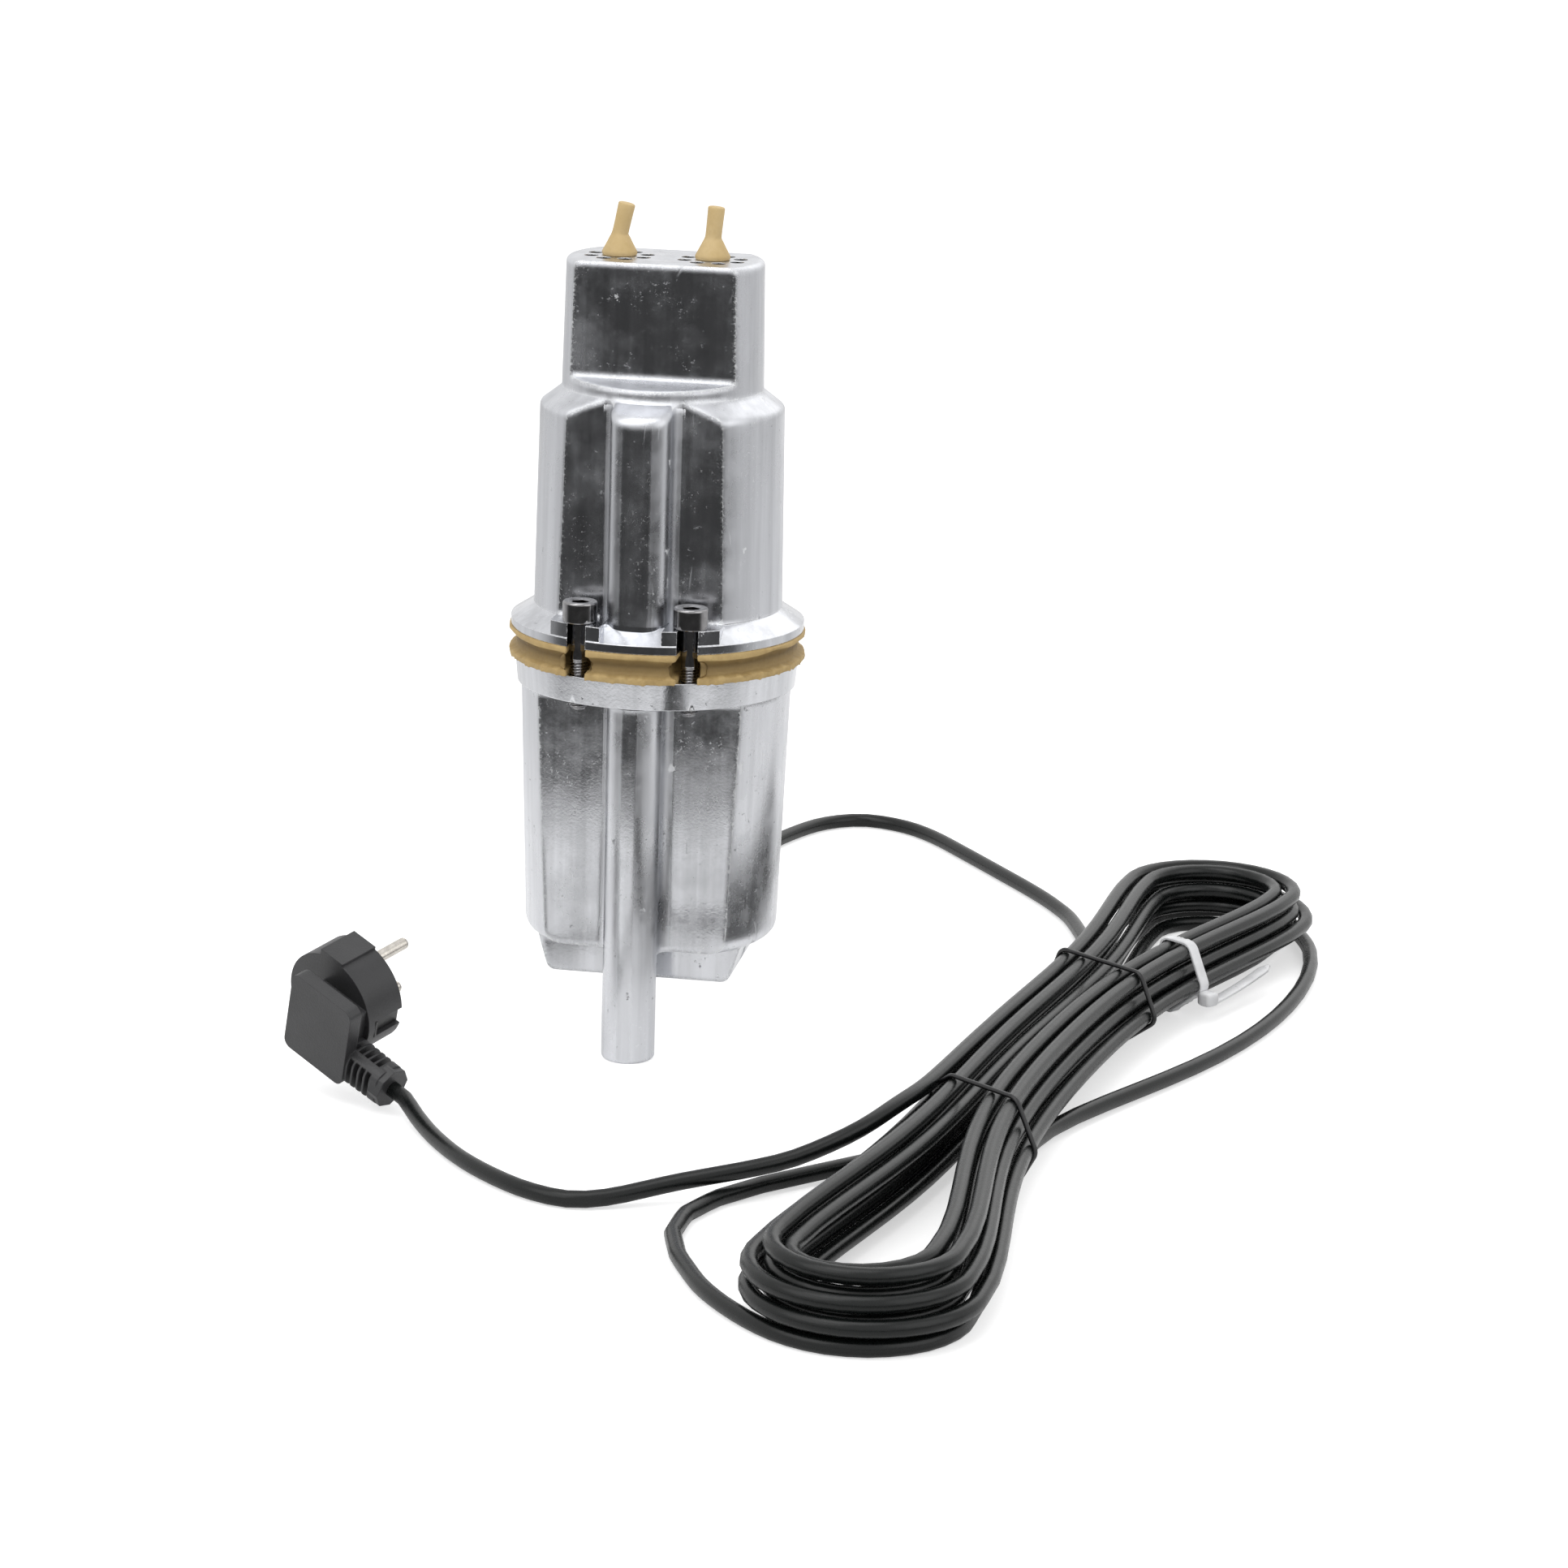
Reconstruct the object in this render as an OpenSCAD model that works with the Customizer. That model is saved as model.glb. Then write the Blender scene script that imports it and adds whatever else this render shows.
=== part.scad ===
// Vibratory submersible pump, standing on its outlet spigot with the intake valves on top.
// Millimetres. Origin on the pump's axis, at the level of the spigot's tip. Front is towards -Y.

/* [Intake housing] */
// Diameter of the intake head at its top edge
head_top_d = 65.8; // [62:0.1:67]
// Diameter of the intake head where it meets the shoulder
head_base_d = 67.5; // [67:0.1:70]
// Height of the intake head above the shoulder
head_h = 43.8; // [38:0.2:60]
// Distance from the axis to each flat of the head
head_flat_y = 19; // [18:0.25:21]
// Height of the round foot of the head below its flats
head_foot_h = 5.6; // [4.5:0.1:9]
// Diameter of the pump body below the shoulder
body_top_d = 81.8; // [80:0.1:82.6]
// Diameter of the pump body above the flange
body_base_d = 83.8; // [83:0.1:86]
// Height of the pump body from the bevel to the shoulder
body_h = 68.9; // [62:0.2:90]
// Height of the sloping shoulder
shoulder_h = 3.8; // [3:0.1:6]
// Distance from the axis to the screw flats of the pump body
body_flat_y = 31.5; // [31:0.1:32.5]
// Half the width of the rib between the screw flats
nose_half_w = 9.8; // [9.4:0.1:10.2]
// Wall of the intake housing round the pump chamber
body_wall = 3.5; // [3.2:0.1:4.2]
// Thickness of the head's end wall, which the valves hang in
end_wall = 5.3; // [4:0.1:7]

/* [Flange joint] */
// Inset of the intake housing's rim within the rubber ring
rim_inset = 0.5; // [0.2:0.1:1]
// Height of the rim below its bevel
rim_h = 2.8; // [2.4:0.1:4]
// Height of the bevel above the rim
bevel_h = 4.8; // [4:0.1:6]
// Height of the screw pads above the joint face
pad_h = 7.9; // [7:0.1:8.4]
// Diameter of the rubber ring between the flanges
ring_d = 100; // [99.8:0.1:103]
// Height of the rubber ring between the flanges
ring_h = 10; // [9:0.1:12]
// Diameter of the circle that the clamping screws stand on
screw_pcd = 88; // [87.6:0.1:88.6]
// Angle from the front to the screws on each side
screw_angle = 25; // [24.6:0.1:25.6]
// Diameter of the clamping screws
screw_d = 6; // [5.5:0.1:6.2]
// Width of the slots that the screws pass through
slot_w = 6.6; // [6.4:0.1:7]

/* [Magnet housing] */
// Diameter of the magnet housing's flange at the joint
flange_d = 96; // [95.4:0.1:98]
// Thickness of the magnet housing's flange
flange_t = 9.2; // [8:0.1:12]
// Diameter of the magnet housing under its flange
magnet_top_d = 91.4; // [90.6:0.1:92]
// Diameter of the magnet housing above its rounded bottom edge
magnet_base_d = 86.2; // [85.6:0.1:88]
// Height of the magnet housing below its flange
magnet_h = 87; // [86:0.2:110]
// Radius of the magnet housing's bottom edge
magnet_round = 4.5; // [3:0.1:6]
// Distance from the axis to the flats beside the outlet column
magnet_flat_y = 30; // [29.4:0.1:30.4]
// Wall of the magnet housing
magnet_wall = 4.5; // [4:0.1:5]

/* [Outlet and hanger] */
// Outer diameter of the outlet column and its hose spigot
spigot_d = 18; // [17:0.1:18.4]
// Bore of the outlet
outlet_bore_d = 12; // [10:0.1:12.6]
// Distance from the pump's axis to the outlet's axis
outlet_y = 37; // [36.8:0.1:37.6]
// Length of the spigot below the magnet housing
spigot_drop = 36; // [33:0.2:60]
// Height of the hanger block below the magnet housing
hanger_h = 11.8; // [11:0.1:14]
// Width of the hanger block at its foot
hanger_foot_w = 64; // [60:0.5:66]
// Width of the hanger block where it meets the magnet housing
hanger_top_w = 72; // [68:0.5:74]
// Depth of the hanger block from front to back
hanger_depth = 44; // [42:0.5:46]
// Diameter of the rope hole through the hanger block
rope_hole_d = 7; // [6:0.1:7.4]

/* [Intake valves] */
// Distance between the two valves
valve_spacing = 31.4; // [30:0.1:32]
// Diameter of a valve's stem
valve_stem_d = 5.4; // [5:0.1:5.8]
// Diameter of a valve's barb at its foot
valve_barb_d = 11.7; // [11:0.1:12.2]
// Height of a valve's conical barb
valve_barb_h = 7.2; // [6:0.1:9]
// Length of a valve's tail above its barb
valve_tail_l = 10.4; // [8:0.1:14]
// Diameter of a valve's disc inside the head
valve_disc_d = 25.6; // [25.2:0.1:26]
// Lift of a valve between its open and its shut place
valve_lift = 0.8; // [0.5:0.05:1.2]
// Diameter of the water holes in the head
water_hole_d = 5; // [4.4:0.1:5.2]
// Diameter of the circle that the water holes stand on
water_hole_pcd = 19; // [18.6:0.1:19.4]

/* [Vibrator] */
// Diameter of the vibrator's rod
rod_d = 8; // [7:0.1:8.6]
// Diameter of the rubber piston
piston_d = 52; // [48:0.25:52.6]
// Thickness of the rubber piston
piston_t = 7; // [6:0.1:8]
// Diameter of the sleeve that slides in the guide ring
sleeve_d = 16; // [14:0.1:17]
// Running clearance round the sleeve and round the valve stems
running_gap = 0.05; // [0.03:0.01:0.09]
// Travel of the vibrator each way
stroke = 1.5; // [1:0.1:2]
// Width of the armature across the two poles
armature_w = 50; // [46:0.5:54]
// Depth of the armature from front to back
armature_depth = 24; // [20:0.5:28]
// Thickness of the armature
armature_t = 13; // [11:0.5:14]
// Gap between the armature and the poles at rest
air_gap = 5.7; // [4:0.1:7]

/* [Electromagnet] */
// Width of each pole of the core
pole_w = 14; // [12:0.5:14.5]
// Distance between the middles of the two poles
pole_spacing = 38; // [37:0.5:39]
// Depth of the core from front to back
core_depth = 24; // [20:0.5:25]
// Height of the core from its yoke to its pole faces
core_h = 64; // [60:0.5:66]
// Wall of the coil bobbins
bobbin_wall = 1; // [0.8:0.1:1.2]
// Thickness of the winding on each bobbin
winding_t = 4.3; // [3.5:0.1:4.6]

/* [Mains cord and plug] */
// Diameter of the mains cord
cord_d = 5.4; // [5:0.1:5.8]
// Diameter of the plug's round face
plug_d = 36.4; // [36:0.1:37.4]
// Depth of the plug from its back to its face
plug_depth = 27; // [26:0.5:29]
// Length of the plug's round barrel
barrel_l = 15; // [14:0.5:17]
// Length of the plug's ribbed boot with its collar
boot_l = 20; // [19:0.2:24]
// Diameter of the plug's pins
pin_d = 4; // [3.8:0.1:4.8]
// Length of the plug's pins
pin_l = 18.4; // [17.5:0.1:19.5]
// Distance between the plug's pins
pin_spacing = 19; // [18.5:0.5:19.5]

/* [Hidden] */
$fn = 96;

// One overrun for every cut, so that a cut never ends flush with a face
over = 1;

// Heights of the joint faces, from the spigot's tip upwards
z_bottom = spigot_drop;
z_flange = z_bottom + magnet_h;
z_joint = z_flange + flange_t;
z_rim = z_joint + ring_h;
z_pad = z_rim + pad_h;
z_bevel = z_rim + rim_h;
z_body = z_bevel + bevel_h;
z_pocket = min(z_pad, z_body);
z_shoulder = z_body + body_h;
z_head = z_shoulder + shoulder_h;
z_top = z_head + head_h;

// The intake housing's rim keeps to the rubber ring that it clamps
rim_d = ring_d - 2 * rim_inset;

// Screws
screw_x = screw_pcd / 2 * sin(screw_angle);
screw_y = screw_pcd / 2 * cos(screw_angle);
screw_head_d = 11.6;
screw_head_h = 7.1;
screw_head_edge = 0.6;
screw_socket_d = 6.2;
screw_socket_depth = 3.4;
screw_tip = 2.5;
thread_gap = 0.1;

// Casting details
shoulder_round = 2.2;
top_round = 1.6;
nose_fillet = 3.6;
nose_round = 4.2;
pad_inner_x = 10.4;
pad_outer_x = 28.4;
pad_inset = 0.3;
ledge_drop = 1.5;
column_fillet = 4;
column_inset = 0.3;
column_draft = 0.25;
flange_draft = 0.9;
spigot_round = 3;
dimple_d = 1.9;
dimple_depth = 0.5;
dimple_rise = 9;
hanger_round = 3.5;
hanger_sink = 4;

// Pump chamber
web_h = 5;
step_h = 4.5;
web_drop = 14;
web_z = z_shoulder - web_drop;
throat_d = piston_d + 2;
recess_d = 59;
recess_h = 11;
chamber_inset = 0.8;
chamber_r = body_base_d / 2 - body_wall - chamber_inset;
chamber_y = body_flat_y - body_wall;
head_wall_y = 3.6;
head_wall_r = 3.9;
channel_d = 7.6;
channel_offset = 1.2;
channel_y = outlet_y - channel_offset;
port_h = 30;

// Rubber ring
lip_h = 1.9;
groove_depth = 1.7;
ring_ridge = 0.35;
ring_seat_d = 58.6;
disc_recess = 1.5;
ring_hole_d = 10;

// Vibrator stack, worked out from the shock absorber's disc
hub_gap = 0.3;
disc_z0 = z_joint + disc_recess;
disc_z1 = z_rim - disc_recess;
clamp_disc_t = 3;
clamp_disc_d = 28;
z_armature = disc_z0 - clamp_disc_t - armature_t;
z_poles = z_armature - air_gap;
guide_web_t = 3;
guide_rim_w = 5;
diaphragm_t = 2;
z_diaphragm = z_rim + recess_h - diaphragm_t;
seat_gap = 0.1;
nut_af = 13;
nut_h = 5;
rod_tail = 2;
washer_t = 2;
washer_d = 22;
z_piston = web_z + web_h / 2 - piston_t / 2;
piston_lip = 1.6;
piston_heel_share = 0.62;
piston_slope_shares = [0.45, 0.55];
piston_dish_share = 0.7;

// How far the tails of the two valves lean to the right
valve_leans = [12, 5];

// Electromagnet
z_core = z_poles - core_h;
yoke_h = pole_w;
bobbin_gap = 0.2;
bobbin_z0 = z_core + yoke_h + bobbin_gap;
pole_rise = 8;
bobbin_h = core_h - yoke_h - pole_rise;
bobbin_flange_t = 1.5;
potting_gap = 0.05;
cavity_round = 3;
cavity_r = magnet_base_d / 2 - magnet_wall;
cavity_ease = 1;
cavity_y = magnet_flat_y - magnet_wall + cavity_ease;

// Grommet at the back of the hanger block
grommet_drop = 0.4;
grommet_z = spigot_drop - hanger_h / 2 - grommet_drop;
grommet_d = 9.6;
grommet_tip_d = 7.6;
grommet_l = 24;
grommet_collar_d = 11;
grommet_collar_t = 1.6;
grommet_root = 8;
grommet_ribs = 5;
grommet_rib_w = 1.2;
grommet_rib_depth = 0.7;

// A stretch of arc as points: centre, radius, first and last angle, number of steps
function arc(cx, cy, r, a0, a1, steps) =
    [for (i = [0:steps]) let (a = a0 + (a1 - a0) * i / steps) [cx + r * cos(a), cy + r * sin(a)]];

module mirror_copy(v) {
    children();
    mirror(v) children();
}

// Runs a profile drawn in Y and Z along X, over the length given
module along_x(length) {
    translate([-length / 2, 0, 0]) rotate([90, 0, 90]) linear_extrude(length) children();
}

// Places its children at the four clamping screws
module at_screws() {
    for (sx = [-1, 1], sy = [-1, 1]) translate([sx * screw_x, sy * screw_y, 0]) children();
}

// Plan of the pocket beside the nose rib, right front: flat floor, fillet, rounded rib
module nose_pocket_plan() {
    far = rim_d;
    polygon(concat(
        [[far, -body_flat_y]],
        arc(nose_half_w + nose_fillet, -body_flat_y - nose_fillet, nose_fillet, 90, 180, 6),
        arc(nose_half_w - nose_round, nose_round - body_base_d / 2, nose_round, 0, -90, 6),
        [[nose_half_w - nose_round, -far], [far, -far]]));
}

// Plan of the pocket beside the outlet column, right front
module column_pocket_plan() {
    far = rim_d;
    r = spigot_d / 2;
    polygon(concat(
        [[far, -magnet_flat_y]],
        arc(r + column_fillet, -magnet_flat_y - column_fillet, column_fillet, 90, 180, 6),
        arc(0, -outlet_y, r - column_inset, -14, -90, 10),
        [[0, -far], [far, -far]]));
}

// Outer form of the intake housing, turned about the axis
module intake_outer() {
    rotate_extrude() polygon(concat(
        [[0, z_rim], [rim_d / 2, z_rim], [rim_d / 2, z_bevel], [body_base_d / 2, z_body]],
        arc(body_top_d / 2 - shoulder_round, z_shoulder - shoulder_round, shoulder_round, 0, 60, 5),
        [[head_base_d / 2 + shoulder_round / 3, z_head]],
        [[head_base_d / 2, z_head + shoulder_round / 3]],
        arc(head_top_d / 2 - top_round, z_top - top_round, top_round, 0, 90, 5),
        [[0, z_top]]));
}

// One fork of the flange, with two legs beside its screw
module screw_pads() {
    intersection() {
        translate([0, 0, z_rim]) cylinder(r = rim_d / 2 - pad_inset, h = pad_h);
        mirror_copy([1, 0, 0]) mirror_copy([0, 1, 0])
            translate([pad_inner_x, -rim_d / 2, z_rim])
                cube([pad_outer_x - pad_inner_x, rim_d / 2 - body_flat_y + over, pad_h]);
    }
}

// Chamber, intake cavity, recess for the guide ring and diaphragm, and the channel to the outlet
module intake_cavities() {
    translate([0, 0, z_rim - over]) cylinder(d = recess_d, h = recess_h + over);
    translate([0, 0, z_rim - over]) cylinder(d = throat_d, h = z_head - z_rim + over);
    intersection() {
        translate([0, 0, z_rim + recess_h + step_h])
            cylinder(r = chamber_r, h = web_z - z_rim - recess_h - step_h);
        translate([-rim_d / 2, -chamber_y, 0]) cube([rim_d, 2 * chamber_y, z_top]);
    }
    intersection() {
        translate([0, 0, z_head - over])
            cylinder(r = head_top_d / 2 - head_wall_r, h = head_h + over - end_wall);
        translate([-rim_d / 2, head_wall_y - head_flat_y, 0])
            cube([rim_d, 2 * (head_flat_y - head_wall_y), z_top]);
    }
    translate([0, -channel_y, z_rim - over]) cylinder(d = channel_d, h = port_h + over);
    translate([0, -channel_y, z_rim + port_h - channel_d / 2])
        rotate([-90, 0, 0]) cylinder(d = channel_d, h = channel_y);
}

module water_holes() {
    for (side = [-1, 1]) translate([side * valve_spacing / 2, 0, z_top - end_wall - over]) {
        cylinder(d = valve_stem_d + 2 * running_gap, h = end_wall + 2 * over);
        for (i = [0:7]) rotate(i * 45 + 22.5) translate([water_hole_pcd / 2, 0, 0])
            cylinder(d = water_hole_d, h = end_wall + 2 * over);
    }
}

// Flat on each side of the head, with the sloping ledge at its foot
module head_flats() {
    r = head_base_d / 2;
    z_ledge = z_head + head_foot_h;
    mirror_copy([0, 1, 0]) along_x(rim_d) polygon([
        [-head_flat_y, z_ledge], [-head_flat_y, z_top + over], [-r - over, z_top + over],
        [-r - over, z_ledge - ledge_drop], [-r, z_ledge - ledge_drop]]);
}

module intake_housing() {
    color([0.80, 0.81, 0.83]) difference() {
        union() {
            difference() {
                intake_outer();
                head_flats();
                mirror_copy([1, 0, 0]) mirror_copy([0, 1, 0]) translate([0, 0, z_pocket])
                    linear_extrude(z_head + shoulder_round - z_pocket) nose_pocket_plan();
            }
            screw_pads();
        }
        intake_cavities();
        water_holes();
        at_screws() translate([0, 0, z_rim - over]) cylinder(d = slot_w, h = pad_h + 2 * over);
        for (sx = [-1, 1]) translate([sx * screw_x - slot_w / 2, -rim_d / 2 - over, z_rim - over])
            cube([slot_w, rim_d / 2 + over - screw_y, pad_h + 2 * over]);
        for (sx = [-1, 1]) translate([sx * screw_x - slot_w / 2, screw_y, z_rim - over])
            cube([slot_w, rim_d / 2 + over - screw_y, pad_h + 2 * over]);
        for (sx = [-1, 1])
            translate([sx * nose_half_w, -body_flat_y - nose_fillet - dimple_d, z_body + dimple_rise])
                rotate([0, sx * 90, 0]) translate([0, 0, -dimple_depth]) cylinder(d = dimple_d, h = over);
    }
}

// Outer form of the magnet housing, turned about the axis
module magnet_outer() {
    rotate_extrude() polygon(concat(
        [[0, z_bottom]],
        arc(magnet_base_d / 2 - magnet_round, z_bottom + magnet_round, magnet_round, -90, 0, 6),
        [[magnet_top_d / 2, z_flange], [flange_d / 2 - flange_draft, z_flange],
         [flange_d / 2, z_joint], [0, z_joint]]));
}

// Space for the electromagnet, open towards the joint
module magnet_cavity(grow = 0) {
    z0 = z_core - grow;
    intersection() {
        translate([0, 0, z0]) cylinder(r = cavity_r + grow, h = z_joint + over - z0);
        linear_extrude(z_joint + over)
            square([2 * cavity_r, 2 * (cavity_y + grow)], center = true);
    }
}

// Hanger block under the housing, with sides that lean outwards
module hanger_block() {
    foot = hanger_foot_w / 2;
    top = hanger_top_w / 2;
    z0 = z_bottom - hanger_h;
    r = hanger_round;
    intersection() {
        rotate([90, 0, 0]) translate([0, 0, -hanger_depth / 2]) linear_extrude(hanger_depth)
            polygon(concat(
                arc(foot - r, z0 + r, r, -90, -8, 5), [[top, z_bottom + hanger_sink]],
                [[-top, z_bottom + hanger_sink]], arc(r - foot, z0 + r, r, 188, 270, 5)));
        linear_extrude(z_bottom + hanger_sink) rounded_plan(hanger_top_w, hanger_depth, r);
    }
}

module magnet_housing() {
    color([0.84, 0.85, 0.87]) difference() {
        union() {
            difference() {
                magnet_outer();
                mirror_copy([1, 0, 0]) translate([0, 0, z_bottom - over])
                    linear_extrude(z_flange - z_bottom + over) column_pocket_plan();
                mirror([0, 1, 0]) mirror_copy([1, 0, 0]) translate([0, 0, z_bottom - over])
                    linear_extrude(z_flange - z_bottom + over) nose_pocket_plan();
            }
            hanger_block();
            translate([0, -outlet_y, 0]) rotate_extrude() polygon(concat(
                [[0, 0]], arc(spigot_d / 2 - spigot_round / 2, spigot_round / 2, spigot_round / 2, -90, 0, 5),
                [[spigot_d / 2, z_bottom], [spigot_d / 2 + column_draft, z_flange + over],
                 [0, z_flange + over]]));
        }
        magnet_cavity();
        translate([0, -outlet_y, -over]) cylinder(d = outlet_bore_d, h = z_joint + 2 * over);
        at_screws() translate([0, 0, z_flange - over])
            cylinder(d = screw_d + 2 * thread_gap, h = flange_t + 2 * over);
        translate([-hanger_top_w, 0, grommet_z]) rotate([0, 90, 0])
            cylinder(d = rope_hole_d, h = 2 * hanger_top_w);
        translate([0, hanger_depth / 2 - grommet_root, grommet_z]) rotate([-90, 0, 0])
            cylinder(d = grommet_d, h = grommet_root + over);
    }
}

module shock_absorber() {
    r = ring_d / 2;
    g = r - groove_depth;
    color([0.80, 0.68, 0.42]) difference() {
        rotate_extrude() polygon(concat(
            [[rod_d / 2, disc_z0], [ring_seat_d / 2 - guide_rim_w - disc_recess, disc_z0],
             [ring_seat_d / 2 - guide_rim_w, z_joint], [r - ring_ridge, z_joint],
             [r, z_joint + lip_h / 2], [r, z_joint + lip_h]],
            [for (i = [0:6]) let (s = i / 6)
                [r - groove_depth * pow(sin(180 * s), 0.6), z_joint + lip_h + (ring_h - 2 * lip_h) * s]],
            [[r, z_rim - lip_h / 2], [r - ring_ridge, z_rim],
             [ring_seat_d / 2 - guide_rim_w, z_rim],
             [ring_seat_d / 2 - guide_rim_w - disc_recess, disc_z1], [rod_d / 2, disc_z1]]));
        at_screws() translate([0, 0, z_joint - over]) cylinder(d = slot_w, h = ring_h + 2 * over);
        for (sx = [-1, 1], sy = [-1, 1])
            translate([sx * screw_x - slot_w / 2, sy > 0 ? screw_y : -screw_y - r, z_joint - over])
                cube([slot_w, r, ring_h + 2 * over]);
        translate([0, -channel_y, z_joint - over]) cylinder(d = ring_hole_d, h = ring_h + 2 * over);
    }
}

module clamping_screws() {
    color([0.45, 0.45, 0.47]) at_screws() difference() {
        union() {
            translate([0, 0, z_flange - screw_tip]) cylinder(d = screw_d, h = z_pad - z_flange + screw_tip);
            translate([0, 0, z_pad]) rotate_extrude() polygon([
                [0, 0], [screw_head_d / 2, 0], [screw_head_d / 2, screw_head_h - screw_head_edge],
                [screw_head_d / 2 - screw_head_edge, screw_head_h], [0, screw_head_h]]);
        }
        translate([0, 0, z_pad + screw_head_h - screw_socket_depth])
            cylinder(d = screw_socket_d, h = screw_socket_depth + over, $fn = 6);
    }
}

// Ring that centres the vibrator: a rim on the shock absorber, a web and a guide bore
module guide_ring() {
    r = recess_d / 2 - seat_gap;
    bore_r = sleeve_d / 2 + running_gap;
    z1 = z_diaphragm;
    boss = 3;
    z0 = disc_z1 + clamp_disc_t + stroke + hub_gap;
    z_web = z1 - stroke - hub_gap;
    color([0.22, 0.22, 0.24]) rotate_extrude() polygon([
        [bore_r, z0], [bore_r + boss, z0], [bore_r + boss, z_web - guide_web_t],
        [r - guide_rim_w, z_web - guide_web_t], [r - guide_rim_w, z_rim], [r, z_rim], [r, z1],
        [r - guide_rim_w, z1], [r - guide_rim_w, z_web], [bore_r, z_web]]);
}

// Rubber sheet over the guide ring, with one fold round the rod's sleeve
module diaphragm() {
    r = recess_d / 2 - seat_gap;
    rod_r = rod_d / 2;
    color([0.16, 0.16, 0.17]) difference() {
        translate([0, 0, z_diaphragm]) cylinder(r = r, h = diaphragm_t);
        translate([0, 0, z_diaphragm - over]) cylinder(r = rod_r, h = diaphragm_t + 2 * over);
    }
}

// U-shaped core, drawn as one solid of stacked laminations
module laminated_core() {
    w = pole_spacing + pole_w;
    color([0.40, 0.42, 0.45]) difference() {
        translate([-w / 2, -core_depth / 2, z_core]) cube([w, core_depth, core_h]);
        translate([-(pole_spacing - pole_w) / 2, -core_depth / 2 - over, z_core + yoke_h])
            cube([pole_spacing - pole_w, core_depth + 2 * over, core_h]);
    }
}

// Square tube with rounded corners: inner size, wall, height
module square_tube(w, d, wall, h) {
    difference() {
        linear_extrude(h) rounded_plan(w + 2 * wall, d + 2 * wall, wall);
        translate([-w / 2, -d / 2, -over]) cube([w, d, h + 2 * over]);
    }
}

module rounded_plan(w, d, r) {
    polygon(concat(
        arc(w / 2 - r, d / 2 - r, r, 0, 90, 5), arc(r - w / 2, d / 2 - r, r, 90, 180, 5),
        arc(r - w / 2, r - d / 2, r, 180, 270, 5), arc(w / 2 - r, r - d / 2, r, 270, 360, 5)));
}

module bobbin(side) {
    w = pole_w + 2 * bobbin_gap;
    d = core_depth + 2 * bobbin_gap;
    color([0.86, 0.84, 0.78]) translate([side * pole_spacing / 2, 0, bobbin_z0]) {
        square_tube(w, d, bobbin_wall, bobbin_h);
        for (z = [0, bobbin_h - bobbin_flange_t]) translate([0, 0, z])
            square_tube(w, d, bobbin_wall + winding_t, bobbin_flange_t);
    }
}

module coil(side) {
    w = pole_w + 2 * (bobbin_gap + bobbin_wall);
    d = core_depth + 2 * (bobbin_gap + bobbin_wall);
    color([0.72, 0.38, 0.18]) translate([side * pole_spacing / 2, 0, bobbin_z0 + bobbin_flange_t])
        square_tube(w, d, winding_t, bobbin_h - 2 * bobbin_flange_t);
}

// Compound poured round the core and coils, up to the top of the bobbins
module potting_compound() {
    gap = potting_gap;
    g = bobbin_gap + bobbin_wall + winding_t + gap;
    color([0.13, 0.12, 0.11]) difference() {
        intersection() {
            magnet_cavity(-gap);
            translate([0, 0, z_core - over]) cylinder(r = rim_d, h = bobbin_z0 + bobbin_h - z_core + over);
        }
        translate([-(pole_spacing + pole_w) / 2 - gap, -core_depth / 2 - gap, z_core - over])
            cube([pole_spacing + pole_w + 2 * gap, core_depth + 2 * gap, yoke_h + gap + over]);
        for (side = [-1, 1]) translate([side * pole_spacing / 2, 0, z_core + yoke_h])
            linear_extrude(core_h) rounded_plan(pole_w + 2 * g, core_depth + 2 * g, bobbin_wall);
    }
}

module vibrator_rod() {
    z0 = z_armature - nut_h - rod_tail;
    z1 = z_piston + piston_t + washer_t + 2 * nut_h + rod_tail;
    color([0.62, 0.63, 0.66]) translate([0, 0, z0]) cylinder(d = rod_d, h = z1 - z0);
}

// Block of laminations on the rod, above the two poles
module armature() {
    color([0.40, 0.42, 0.45]) difference() {
        translate([-armature_w / 2, -armature_depth / 2, z_armature])
            cube([armature_w, armature_depth, armature_t]);
        translate([0, 0, z_armature - over]) cylinder(d = rod_d, h = armature_t + 2 * over);
    }
}

module washer(d, t, bore) {
    difference() {
        cylinder(d = d, h = t);
        translate([0, 0, -over]) cylinder(d = bore, h = t + 2 * over);
    }
}

module clamp_disc_lower() {
    color([0.70, 0.71, 0.72]) translate([0, 0, z_armature + armature_t])
        washer(clamp_disc_d, clamp_disc_t, rod_d);
}

module clamp_disc_upper() {
    color([0.70, 0.71, 0.72]) translate([0, 0, disc_z1]) washer(sleeve_d, clamp_disc_t, rod_d);
}

// Sleeve that slides in the guide ring and holds the diaphragm off the clamp disc
module spacer_sleeve() {
    z0 = disc_z1 + clamp_disc_t;
    color([0.66, 0.67, 0.70]) translate([0, 0, z0]) washer(sleeve_d, z_diaphragm - z0, rod_d);
}

// Rubber cup with a thin lip on its working edge
module piston() {
    r = piston_d / 2;
    heel = r * piston_heel_share;
    color([0.12, 0.12, 0.12]) translate([0, 0, z_piston]) rotate_extrude() polygon([
        [rod_d / 2, 0], [heel, 0], [r - piston_lip, piston_t * piston_slope_shares[0]],
        [r, piston_t * piston_slope_shares[1]], [r, piston_t], [r - piston_lip, piston_t],
        [heel, piston_t * piston_dish_share], [washer_d / 2, piston_t * piston_dish_share],
        [washer_d / 2, piston_t], [rod_d / 2, piston_t]]);
}

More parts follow.
